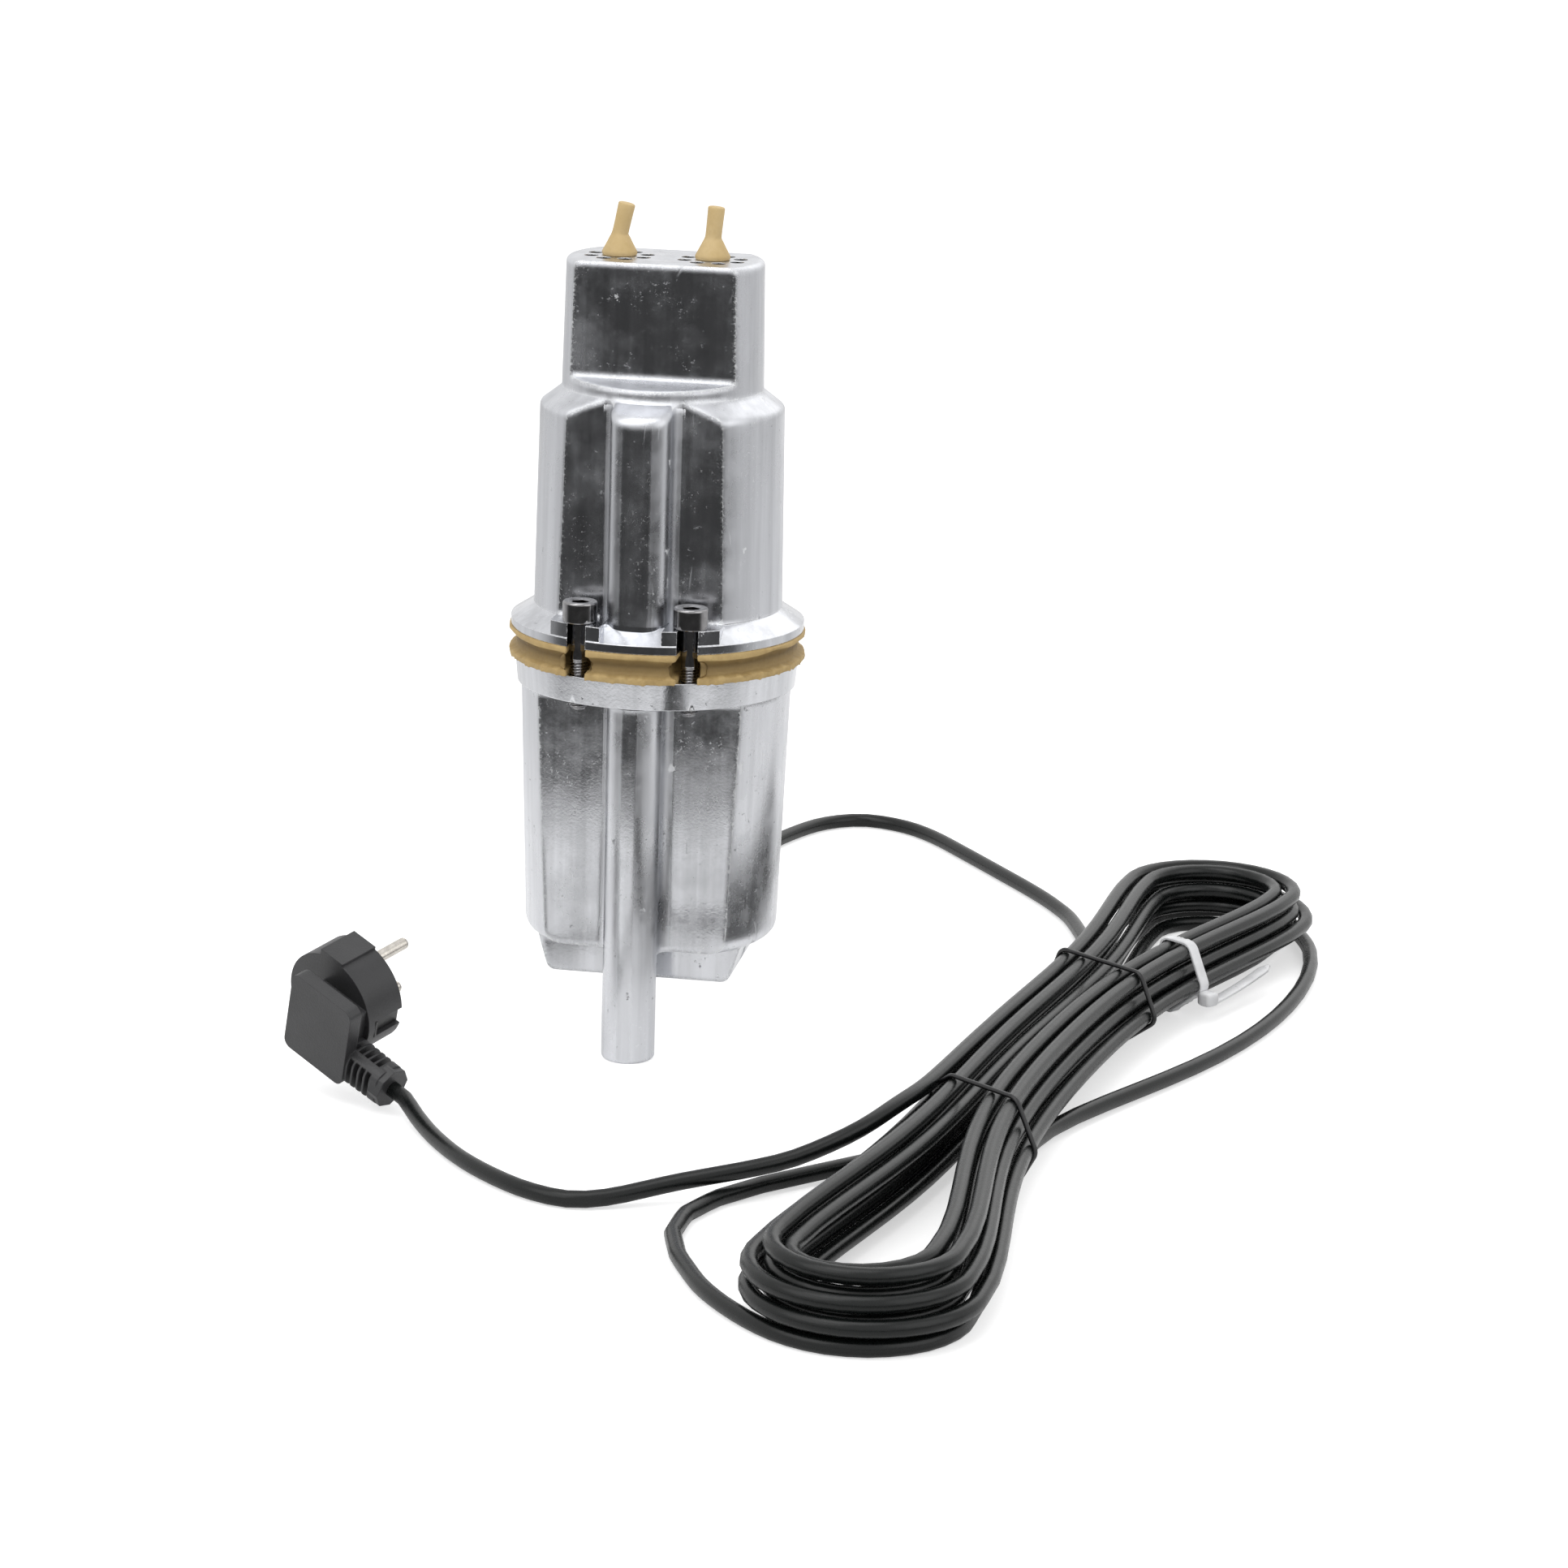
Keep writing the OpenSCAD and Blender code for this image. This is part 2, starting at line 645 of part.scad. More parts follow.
// Washer under the piston, washer over it, and the washer over the diaphragm
module piston_washers() {
    color([0.70, 0.71, 0.72]) {
        translate([0, 0, z_piston - washer_t]) washer(washer_d, washer_t, rod_d);
        translate([0, 0, z_piston + piston_t]) washer(washer_d, washer_t, rod_d);
        translate([0, 0, z_diaphragm + diaphragm_t]) washer(washer_d, washer_t, rod_d);
    }
}

module nut() {
    difference() {
        cylinder(d = nut_af / cos(30), h = nut_h, $fn = 6);
        translate([0, 0, -over]) cylinder(d = rod_d, h = nut_h + 2 * over);
    }
}

// Two nuts over the piston, one under it, one over the diaphragm and one under the armature
module rod_nuts() {
    color([0.66, 0.64, 0.58]) {
        for (i = [0, 1]) translate([0, 0, z_piston + piston_t + washer_t + i * nut_h]) nut();
        translate([0, 0, z_piston - washer_t - nut_h]) nut();
        translate([0, 0, z_diaphragm + diaphragm_t + washer_t]) nut();
        translate([0, 0, z_armature - nut_h]) nut();
    }
}

// Mushroom valve: disc inside the head, stem through its end wall, barb and leaning tail outside
module intake_valve(side, lean) {
    stem_r = valve_stem_d / 2;
    barb_r = valve_barb_d / 2;
    z_wall = z_top - end_wall;
    disc_t = 1.6;
    brim = 1;
    dome = 1.4;
    tail_inset = 0.15;
    color([0.80, 0.68, 0.42]) translate([side * valve_spacing / 2, 0, 0]) {
        rotate_extrude() polygon(concat(
            [[0, z_wall - valve_lift - disc_t - dome], [stem_r, z_wall - valve_lift - disc_t - dome / 2],
             [valve_disc_d / 2 - brim, z_wall - valve_lift - disc_t / 2],
             [valve_disc_d / 2, z_wall - valve_lift - disc_t / 4],
             [valve_disc_d / 2, z_wall - valve_lift], [stem_r, z_wall - valve_lift], [stem_r, z_top],
             [barb_r - brim / 3, z_top], [barb_r, z_top + brim / 3], [barb_r, z_top + brim],
             [stem_r, z_top + valve_barb_h], [0, z_top + valve_barb_h]]));
        translate([0, 0, z_top + valve_barb_h]) rotate([0, lean, 0]) rotate_extrude() polygon([
            [0, -stem_r], [stem_r - tail_inset, -stem_r], [stem_r - tail_inset, valve_tail_l - brim / 3],
            [stem_r - brim / 2, valve_tail_l], [0, valve_tail_l]]);
    }
}

// Tapered rubber bush with cut ribs, seated in the back of the hanger block
module cord_grommet() {
    y0 = hanger_depth / 2;
    r0 = grommet_d / 2;
    slope = (grommet_d - grommet_tip_d) / 2 / grommet_l;
    color([0.08, 0.08, 0.09]) translate([0, y0, grommet_z]) rotate([-90, 0, 0]) difference() {
        rotate_extrude() polygon([
            [0, seat_gap - grommet_root], [r0 - seat_gap, seat_gap - grommet_root], [r0 - seat_gap, 0],
            [grommet_collar_d / 2, 0], [grommet_collar_d / 2, grommet_collar_t], [r0, grommet_collar_t],
            [grommet_tip_d / 2, grommet_l], [0, grommet_l]]);
        for (i = [1:grommet_ribs]) {
            z = grommet_collar_t + i * (grommet_l - grommet_collar_t) / (grommet_ribs + 1);
            translate([0, 0, z]) rotate_extrude() translate([r0 - slope * z - grommet_rib_depth, 0])
                square([grommet_d, grommet_rib_w]);
        }
    }
}

// Unit vector along v
function unit(v) = v / norm(v);

// Direction of a line of points at point i
function heading(points, i) =
    unit(points[min(i + 1, len(points) - 1)] - points[max(i - 1, 0)]);

// One ring of a tube: a corner straight down, and the rest evenly round
function tube_ring(p, dir, r, sides) =
    let (side = unit(cross(dir, [0, 0, 1])), up = cross(side, dir))
    [for (k = [0:sides - 1]) let (a = 360 * k / sides - 90) p + r * (cos(a) * side + sin(a) * up)];

// Closed tube swept along a line of points, as one polyhedron
module tube(points, r, sides) {
    n = len(points);
    rings = [for (i = [0:n - 1]) each tube_ring(points[i], heading(points, i), r, sides)];
    walls = [for (i = [0:n - 2], k = [0:sides - 1]) let (a = i * sides + k, b = i * sides + (k + 1) % sides)
        each [[a, b, b + sides], [a, b + sides, a + sides]]];
    first = [for (k = [1:sides - 2]) [0, k + 1, k]];
    last_ring = (n - 1) * sides;
    last = [for (k = [1:sides - 2]) [last_ring, last_ring + k, last_ring + k + 1]];
    polyhedron(points = rings, faces = concat(walls, first, last));
}

// Smooth curve through the route's points, with a number of steps between each two
function spline(points, steps) =
    let (n = len(points))
    concat([for (i = [0:n - 2], k = [0:steps - 1]) let (
        p0 = points[max(i - 1, 0)], p1 = points[i], p2 = points[i + 1], p3 = points[min(i + 2, n - 1)],
        s = k / steps)
        0.5 * (2 * p1 + (p2 - p0) * s + (2 * p0 - 5 * p1 + 4 * p2 - p3) * s * s
            + (3 * p1 - p0 - 3 * p2 + p3) * s * s * s)], [points[n - 1]]);

// Cord from the grommet down to the floor behind the pump, then round to the hank
lead_in_route = [
    [0, 46, 29.7], [0, 56, 29.2], [0, 68, 25], [-1, 80, 17], [-2, 92, 9], [-3, 105, 4.6], [-4, 120, 2.85],
    [-6, 145, 2.85], [-7, 170, 2.85], [-5, 200, 2.85], [0, 227, 2.85], [7, 251, 2.85], [18, 273, 2.85],
    [33, 283, 2.85], [50, 278, 2.85], [64, 265, 2.85], [79, 244, 2.85], [96, 219, 2.85], [112, 195, 2.85],
    [123, 176, 2.85], [132, 155, 2.85]
];

// Cord from the hank's top layer down to the floor and round to the plug
lead_out_route = [
    [112, -110.5, 23.8], [105, -132, 23], [96.5, -148, 20], [87, -157, 16.5], [76, -163.5, 12.8],
    [64.8, -169.5, 10.9], [53.5, -173.5, 9], [43, -176.5, 7], [33, -180.5, 5], [23, -185, 3.4],
    [12, -187.8, 2.85], [-1, -183.5, 2.85], [-14, -174, 2.85], [-28, -160, 2.85], [-40.5, -143, 2.85],
    [-50, -128, 3.7]
];

// Hank: loops that spiral in and out in four layers, drawn in at the waist
hank_centre = [148, -54];
hank_heading = 10;
hank_run = 205;
hank_fold_r = 21;
hank_waist = 4;
hank_bow = 10;
hank_step = 6.8;
hank_layer = 6.5;
hank_lift = 1.6;
hank_turns = 9.14;
hank_spiral = 2;
hank_rings = 24;
hank_sides = 6;
hank_loose_left = 45;
hank_loose_right = 33;
hank_left_bulge = [-150, 90];
hank_right_bulge = [95, 155];
hank_loose_end = 14;

// Half width of a run at share k of its length from the middle, for a loop that lies rho further out
function hank_side(k, rho) =
    hank_waist + rho + (hank_fold_r - hank_waist) * pow(k, 4) * (5 - 4 * abs(k));

// How far the loops lean to the left at share k of their length from the middle
function hank_shift(k) = -hank_bow * pow(1 - k * k, 2);

// Swell from nothing to one and back, for x from -1 to 1
function swell(x) = abs(x) < 1 ? pow(1 - x * x, 2) : 0;

// First turn lies loose on the floor: share of its bulge near the left end, and of that along the right side
function loose_left(u) = swell((u - hank_left_bulge[0]) / hank_left_bulge[1]);
function loose_right(u) = swell((u - hank_right_bulge[0]) / hank_right_bulge[1]);

// Middle of the cord after t turns, in the hank's own frame: along, across, up
function hank_local(t) = let (
    per = hank_spiral + 0.5,
    layer = floor(t / per),
    f = t - layer * per,
    q = min(f, hank_spiral),
    rho = (layer % 2 == 0 ? hank_spiral - q : q) * hank_step,
    up = cord_d / 2 + (layer + max(0, f - hank_spiral) * 2) * hank_layer,
    s = t - floor(t),
    r = hank_fold_r + rho,
    k = s < 0.25 ? 1 - 8 * s : (s < 0.75 ? 8 * (s - 0.5) - 1 : 1),
    first = t < 1 ? 1 : 0,
    u = s < 0.25 || (s >= 0.5 && s < 0.75) ? hank_run * k
        : s < 0.5 ? -hank_run - r * sin(720 * (s - 0.25))
        : hank_run + (r + first * hank_loose_end) * sin(720 * (s - 0.75)),
    left = s < 0.375 ? first * loose_left(u) : 0,
    right = s >= 0.5 && s < 0.875 ? first * loose_right(u) : 0,
    lift = abs(k) < 1 ? hank_lift * (1 - pow(k, 4)) * (1 - left) * (1 - right) : 0,
    v = s < 0.25 ? hank_shift(k) - hank_side(k, rho)
        : s < 0.5 ? -r * cos(720 * (s - 0.25))
        : s < 0.75 ? hank_shift(k) + hank_side(k, rho)
        : r * cos(720 * (s - 0.75)))
    [u, v - hank_loose_left * left + hank_loose_right * right, up + lift];

// From the hank's own frame to the part's
function hank_place(p) = [
    hank_centre[0] + p[0] * sin(hank_heading) + p[1] * cos(hank_heading),
    hank_centre[1] + p[0] * cos(hank_heading) - p[1] * sin(hank_heading), p[2]];

hank_steps = floor(hank_turns * hank_rings);
hank_core = [for (i = [1:hank_steps]) hank_place(hank_local(i / hank_rings))];
hank_first = hank_core[0] + cord_d * unit(hank_core[0] - hank_core[1]);
hank_last = hank_core[hank_steps - 1]
    + cord_d * unit(hank_core[hank_steps - 1] - hank_core[hank_steps - 2]);
hank_points = concat([hank_first], hank_core, [hank_last]);

// Distance from p to the straight line between a and b
function off_segment(p, a, b) =
    let (s = max(0, min(1, (p - a) * (b - a) / ((b - a) * (b - a))))) norm(p - a - s * (b - a));

function hank_gap(p) = min([for (i = [0:3:len(p) - 1], j = [i + hank_rings / 2:len(p) - 2])
    off_segment(p[i], p[j], p[j + 1])]) - cord_d;

module cord_lead_in() {
    before = hank_first + 2 * (hank_first - hank_core[0]);
    color([0.06, 0.07, 0.07])
        tube(concat(spline(concat(lead_in_route, [before]), 2), [hank_first]), cord_d / 2, 8);
}

module cord_hank() {
    echo(hank_least_gap = hank_gap(hank_points));
    color([0.06, 0.07, 0.07]) tube(hank_points, cord_d / 2, hank_sides);
}

module cord_lead_out() {
    after = hank_last + 2 * (hank_last - hank_core[hank_steps - 1]);
    before = plug_point([boot_x, -boot_end - cord_d, boot_z]);
    start = hank_last + seat_gap * unit(after - hank_last);
    color([0.06, 0.07, 0.07])
        tube(concat([start], spline(concat([after], lead_out_route, [before]), 2), [plug_mouth]),
            cord_d / 2, 8);
}

// Ties round the hank: thickness, width and place along it; all lie slantwise
tie_skew = 28;
tie_t = 1;
tie_w = 2;
tie_gap = 1;
wire_tie_places = [-68, 80];
cable_tie_place = 117;
cable_tie_t = 1.1;
cable_tie_w = 4;
cable_tie_head = [6, 6, 5];
cable_tie_tail = 46;
cable_tie_tail_turn = 14;
cable_tie_head_z = 6.5;

module hank_frame() {
    translate([hank_centre[0], hank_centre[1], 0]) rotate(-hank_heading) rotate(90) children();
}

// Band across the hank from one side to the other, standing on the floor
module tie_band(along, side0, side1, thick, width) {
    top = hank_lift + 3 * hank_layer + cord_d + tie_gap;
    w = (side1 - side0 + width * sin(tie_skew)) / cos(tie_skew);
    r = cord_d / 2 + tie_gap;
    translate([along, -(side0 + side1) / 2, 0]) rotate([90, 0, -90 - tie_skew])
        translate([0, 0, -width / 2]) linear_extrude(width) difference() {
            translate([0, (top + thick) / 2]) rounded_plan(w + 2 * thick, top + thick, r);
            translate([0, (top + thick) / 2]) rounded_plan(w, top - thick, r - thick);
        }
}

module wire_ties() {
    reach = 2 * hank_step + cord_d / 2 + tie_gap;
    color([0.05, 0.05, 0.05]) hank_frame() for (u = wire_tie_places) {
        swing = (hank_side(u / hank_run, 0) + reach) * tan(tie_skew);
        left = (u + swing) / hank_run;
        right = (u - swing) / hank_run;
        tie_band(u, hank_shift(left) - hank_side(left, 0) - reach,
            hank_shift(right) + hank_side(right, 0) + reach, tie_t, tie_w);
    }
}

// White tie round the right half of the loops, with its head low on the outside and its tail led away
module cable_tie() {
    half = hank_step + cord_d / 2 + tie_gap;
    swing = half * tan(tie_skew);
    left = (cable_tie_place + swing) / hank_run;
    right = (cable_tie_place - swing) / hank_run;
    inner = hank_shift(left) + hank_side(left, 0) - cord_d / 2 - tie_gap;
    outer = hank_shift(right) + hank_side(right, 0) + 2 * half - cord_d / 2 - tie_gap;
    head_y = -outer - cable_tie_head[1] - tie_gap;
    head_x = cable_tie_place - swing - cable_tie_head[0] / 2;
    color([0.92, 0.92, 0.90]) hank_frame() {
        tie_band(cable_tie_place, inner, outer, cable_tie_t, cable_tie_w);
        translate([head_x, head_y, cable_tie_head_z]) cube(cable_tie_head);
        translate([head_x + cable_tie_head[0] / 2, head_y + cable_tie_w / 2, cable_tie_head_z])
            rotate(-cable_tie_tail_turn) translate([0, -cable_tie_w / 2, 0])
                cube([cable_tie_tail, cable_tie_w, cable_tie_t]);
    }
}

// Plug: its own frame has X along the pins, Y away from the cord, and its origin in the round face
plug_turn = [21.5, -12.3, 58];
plug_place = [-79.8, -85.05, 33];
plug_back_t = 5;
plug_back_y = [-20, 7];
plug_half_z = 15.4;
plug_edge = 3;
neck_y = [-16, 4];
neck_half_z = 8;
boot_x = -20;
boot_z = -8.5;
boot_root = [13, 13.6];
boot_tip = [12, 13];
boot_start = 15.7;
boot_slots = 5;
boot_slot_w = 1.8;
boot_slot_depth = 2.4;
boot_ridge_w = 3.4;
boot_ridge_turn = 30;
boot_collar_d = 14;
boot_collar_l = 4.5;
earth_groove_w = 6.4;
earth_groove_depth = 2.6;
earth_groove_l = 12;
earth_contact_t = 0.8;
pin_tip = 1.2;
pin_sink = 9;
pad_y = [-3, 7];
pad_rise = 0.9;

// Place of a point of the plug's own frame in the part's frame
function turn_x(p, a) = [p[0], p[1] * cos(a) - p[2] * sin(a), p[1] * sin(a) + p[2] * cos(a)];
function turn_y(p, a) = [p[0] * cos(a) + p[2] * sin(a), p[1], p[2] * cos(a) - p[0] * sin(a)];
function turn_z(p, a) = [p[0] * cos(a) - p[1] * sin(a), p[0] * sin(a) + p[1] * cos(a), p[2]];
function plug_point(p) = plug_place + turn_z(turn_y(turn_x(p, plug_turn[0]), plug_turn[1]), plug_turn[2]);

boot_end = boot_start + boot_l;
plug_mouth = plug_point([boot_x, -boot_end, boot_z]);

module plug_frame() {
    translate(plug_place) rotate(plug_turn) children();
}

module boot_section(size, y) {
    translate([boot_x, y, boot_z]) rotate([90, 0, 0]) linear_extrude(boot_slot_w)
        rounded_plan(size[0], size[1], min(size) / 3);
}

// Boot: tapered, with slots cut round it and a ridge left on two sides
module plug_boot() {
    difference() {
        hull() {
            boot_section(boot_root, -boot_start);
            boot_section(boot_tip, boot_slot_w - boot_end + boot_collar_l / 2);
        }
        for (i = [1:boot_slots]) {
            y = -boot_start - i * (boot_l - boot_collar_l) / (boot_slots + 1);
            depth = boot_slot_depth;
            share = i / (boot_slots + 1);
            size = boot_root * (1 - share) + boot_tip * share;
            translate([boot_x, y, boot_z]) rotate([90, 0, 0]) difference() {
                linear_extrude(boot_slot_w) difference() {
                    square(boot_root * 2, center = true);
                    rounded_plan(size[0] - 2 * depth, size[1] - 2 * depth, depth);
                }
                rotate(boot_ridge_turn) translate([-boot_ridge_w / 2, -boot_root[1], -over])
                    cube([boot_ridge_w, 2 * boot_root[1], boot_slot_w + 2 * over]);
            }
        }
    }
    translate([boot_x, boot_collar_l - boot_end, boot_z]) rotate([90, 0, 0])
        cylinder(d = boot_collar_d, h = boot_collar_l, $fn = 8);
}

// Round barrel with a raised pad, a neck, and a square back plate that the boot leaves from
module plug_body() {
    back = -plug_depth;
    wide = plug_back_y[1] - plug_back_y[0];
    color([0.10, 0.10, 0.11]) plug_frame() {
        difference() {
            union() {
                rotate([0, -90, 0]) cylinder(d = plug_d, h = barrel_l);
                translate([-barrel_l, pad_y[0], 0])
                    cube([barrel_l, pad_y[1] - pad_y[0], plug_d / 2 + pad_rise]);
                translate([back, neck_y[0], -neck_half_z])
                    cube([plug_depth - barrel_l + over, neck_y[1] - neck_y[0], 2 * neck_half_z]);
                translate([back, plug_back_y[0] + wide / 2, 0]) rotate([90, 0, 90])
                    linear_extrude(plug_back_t) rounded_plan(wide, 2 * plug_half_z, plug_edge);
            }
            for (s = [-1, 1]) translate([-earth_groove_l, s * (plug_d - earth_groove_depth + over) / 2, 0])
                translate([0, -(earth_groove_depth + over) / 2, -earth_groove_w / 2])
                    cube([earth_groove_l + over, earth_groove_depth + over, earth_groove_w]);
            for (s = [-1, 1]) translate([-pin_sink, 0, s * pin_spacing / 2]) rotate([0, 90, 0])
                cylinder(d = pin_d + seat_gap, h = pin_sink + over);
        }
        plug_boot();
    }
}

module plug_pins() {
    r = pin_d / 2;
    color([0.78, 0.76, 0.72]) plug_frame() for (s = [-1, 1])
        translate([-pin_sink, 0, s * pin_spacing / 2]) rotate([0, 90, 0]) rotate_extrude()
            polygon(concat([[0, 0], [r, 0]], arc(r - pin_tip, pin_sink + pin_l - pin_tip, pin_tip, 0, 90, 4),
                [[0, pin_sink + pin_l]]));
}

module plug_earth_contacts() {
    y = plug_d / 2 - earth_groove_depth;
    color([0.78, 0.76, 0.72]) plug_frame() mirror_copy([0, 1, 0])
        translate([-earth_groove_l, y, -earth_groove_w / 2 + seat_gap]) {
            cube([earth_groove_l, earth_contact_t, earth_groove_w - 2 * seat_gap]);
            cube([earth_contact_t, earth_groove_depth, earth_groove_w - 2 * seat_gap]);
        }
}

intake_housing();
magnet_housing();
shock_absorber();
clamping_screws();
guide_ring();
diaphragm();
laminated_core();
bobbin(-1);  // bobbin_left
bobbin(1);  // bobbin_right
coil(-1);  // coil_left
coil(1);  // coil_right
potting_compound();
vibrator_rod();
armature();
clamp_disc_lower();
clamp_disc_upper();
spacer_sleeve();
piston();
piston_washers();
rod_nuts();
intake_valve(-1, valve_leans[0]);  // intake_valve_left
intake_valve(1, valve_leans[1]);  // intake_valve_right
cord_grommet();
cord_lead_in();
cord_hank();
cord_lead_out();
wire_ties();
cable_tie();
plug_body();
plug_pins();
plug_earth_contacts();
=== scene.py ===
"""Looks of a vibratory submersible pump that stands on its outlet spigot, with its mains cord beside it.

Metres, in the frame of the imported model: the pump's axis is Z, the outlet column faces -Y.
"""

import bpy
import numpy as np
from mathutils import Matrix, Vector
from mathutils.geometry import tessellate_polygon


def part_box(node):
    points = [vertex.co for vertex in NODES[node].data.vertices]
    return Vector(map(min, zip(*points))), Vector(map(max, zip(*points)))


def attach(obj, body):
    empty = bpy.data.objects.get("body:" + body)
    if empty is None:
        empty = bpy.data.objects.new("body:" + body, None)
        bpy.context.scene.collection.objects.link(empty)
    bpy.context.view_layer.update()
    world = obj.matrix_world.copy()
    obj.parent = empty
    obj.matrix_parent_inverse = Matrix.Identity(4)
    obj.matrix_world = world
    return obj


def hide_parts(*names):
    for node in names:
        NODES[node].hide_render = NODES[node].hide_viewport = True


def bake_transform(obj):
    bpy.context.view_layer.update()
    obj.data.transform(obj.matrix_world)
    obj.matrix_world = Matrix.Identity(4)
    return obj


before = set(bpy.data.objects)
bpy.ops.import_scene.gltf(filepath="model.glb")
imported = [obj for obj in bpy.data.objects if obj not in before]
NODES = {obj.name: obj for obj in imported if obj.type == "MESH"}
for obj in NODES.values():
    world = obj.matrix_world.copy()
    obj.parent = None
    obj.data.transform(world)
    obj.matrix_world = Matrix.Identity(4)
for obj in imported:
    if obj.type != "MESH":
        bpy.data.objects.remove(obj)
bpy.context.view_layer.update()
MM = 0.001


# ---------------------------------------------------------------- shader helpers

class Tree:
    """Short way to wire a node tree: Tree(tree)("ShaderNodeMath", operation="ADD", _0=a, _1=b)."""

    def __init__(self, tree):
        self.tree = tree

    def __call__(self, kind, **given):
        """New node. A name with an underscore before it is an input, by number or by label; others are settings."""
        node = self.tree.nodes.new(kind)
        for key, value in given.items():
            if not key.startswith("_"):
                setattr(node, key, value)
                continue
            socket = node.inputs[int(key[1:])] if key[1:].isdigit() else node.inputs[key[1:].replace("_", " ")]
            if isinstance(value, bpy.types.NodeSocket):
                self.link(value, socket)
            else:
                socket.default_value = value
        return node

    def link(self, value, socket):
        self.tree.links.new(value, socket)

    def math(self, kind, a, b=0.0, c=0.0):
        return self("ShaderNodeMath", operation=kind, _0=a, _1=b, _2=c).outputs[0]

    def object_place(self):
        return self("ShaderNodeTexCoord").outputs["Object"]

    def split(self, vector):
        return self("ShaderNodeSeparateXYZ", _0=vector).outputs

    def noise(self, where, scale, detail=3.0, rough=0.5):
        return self("ShaderNodeTexNoise", _Vector=where, _Scale=scale, _Detail=detail, _Roughness=rough).outputs["Fac"]

    def mix(self, share, a, b):
        return self("ShaderNodeMix", data_type="RGBA", _0=share, _6=a, _7=b).outputs[2]

    def spread(self, value, low, high):
        """The value's 0 to 1 spread over low to high."""
        return self("ShaderNodeMapRange", _Value=value, _3=low, _4=high).outputs[0]

    def bevel(self, radius, samples=4):
        return self("ShaderNodeBevel", samples=samples, _Radius=radius).outputs[0]

    def ramp(self, value, *stops):
        node = self("ShaderNodeValToRGB")
        self.link(value, node.inputs[0])
        marks = node.color_ramp.elements
        while len(marks) < len(stops):
            marks.new(0.5)
        for mark, (place, shade) in zip(marks, stops):
            mark.position = place
            mark.color = (*shade, 1) if hasattr(shade, "__len__") else (shade, shade, shade, 1)
        return node.outputs["Color"]


def new_material(name):
    material = bpy.data.materials.new(name)
    material.use_nodes = True
    return material, Tree(material.node_tree), material.node_tree.nodes["Principled BSDF"]


def finish_surface(tree, shader, colour, rough, height, strength, distance, soft):
    """Wires a material's colour, its roughness, and a bump of the height over the softened normal."""
    tree.link(colour, shader.inputs["Base Color"])
    tree.link(rough, shader.inputs["Roughness"])
    bump = tree("ShaderNodeBump", _Strength=strength, _Distance=distance, _Height=height, _Normal=soft).outputs[0]
    tree.link(bump, shader.inputs["Normal"])


def new_group(name, inputs, outputs):
    """Node group from its inputs' names and values and its outputs' names, all of them single numbers."""
    group = bpy.data.node_groups.new(name, "ShaderNodeTree")
    for label, value in inputs:
        group.interface.new_socket(label, in_out="INPUT", socket_type="NodeSocketFloat").default_value = value
    for label in outputs:
        group.interface.new_socket(label, in_out="OUTPUT", socket_type="NodeSocketFloat")
    tree = Tree(group)
    return group, tree, tree("NodeGroupInput").outputs, tree("NodeGroupOutput").inputs


# ---------------------------------------------------------------- camera, floor and light

def show(name, data, matrix=None):
    """New object in the scene."""
    shown = bpy.data.objects.new(name, data)
    bpy.context.scene.collection.objects.link(shown)
    if matrix:
        shown.matrix_world = matrix
    return shown


FRAME_PX, FOCAL_PX, SENSOR_MM = 1932.0, 5460.0, 36.0
CAMERA_AT, CAMERA_TURN = (0.27290, -1.43974, 0.46352), (9.0, 14.4, 1.73)


def make_camera():
    """Camera at the photograph's viewing angle: 9 degrees to the pump's right, 14.4 above, rolled 1.73."""
    yaw, pitch, roll = np.radians(CAMERA_TURN)
    look = np.array([-np.sin(yaw) * np.cos(pitch), np.cos(yaw) * np.cos(pitch), -np.sin(pitch)])
    right = np.array([np.cos(yaw), np.sin(yaw), 0.0])
    up = np.cross(right, look)
    turned_right = right * np.cos(roll) + up * np.sin(roll)
    turned_up = up * np.cos(roll) - right * np.sin(roll)
    data = bpy.data.cameras.new("camera")
    data.sensor_width = SENSOR_MM
    data.lens = SENSOR_MM * FOCAL_PX / FRAME_PX
    data.clip_start, data.clip_end = 0.05, 50.0
    turn = Matrix((turned_right, turned_up, -look)).transposed().to_4x4()
    bpy.context.scene.camera = show("camera", data, Matrix.Translation(CAMERA_AT) @ turn)


LAMP_AIM = Vector((0.03, 0, 0.12))
LAMPS = (("key", (-0.9, -1.1, 1.5), 1.8, 9.0), ("fill", (1.4, -0.7, 0.9), 1.6, 4.5),
         ("rim", (0.5, 1.3, 1.3), 1.6, 4.5), ("overhead", (-0.1, -0.40, 1.7), 1.2, 5.2))


def make_light():
    """Pale world, a broad soft lamp from the upper left, weaker ones from the right and behind, one overhead."""
    world = bpy.data.worlds.new("studio")
    bpy.context.scene.world = world
    world.use_nodes = True
    tree = Tree(world.node_tree)
    back = world.node_tree.nodes["Background"]
    back.inputs["Color"].default_value = (1, 1, 1, 1)
    path = tree("ShaderNodeLightPath").outputs
    seen = tree.math("MAXIMUM", path["Is Camera Ray"], path["Is Glossy Ray"])
    seen = tree.math("MAXIMUM", seen, path["Is Transmission Ray"])
    tree.link(tree.spread(seen, 0.6, 1.0), back.inputs["Strength"])
    bpy.context.scene.view_settings.view_transform = "Standard"
    for name, place, size, power in LAMPS:
        data = bpy.data.lights.new(name, "AREA")
        data.shape, data.size, data.energy = "DISK", size, power
        turn = (LAMP_AIM - Vector(place)).to_track_quat("-Z", "Y").to_matrix().to_4x4()
        show(name, data, Matrix.Translation(place) @ turn)


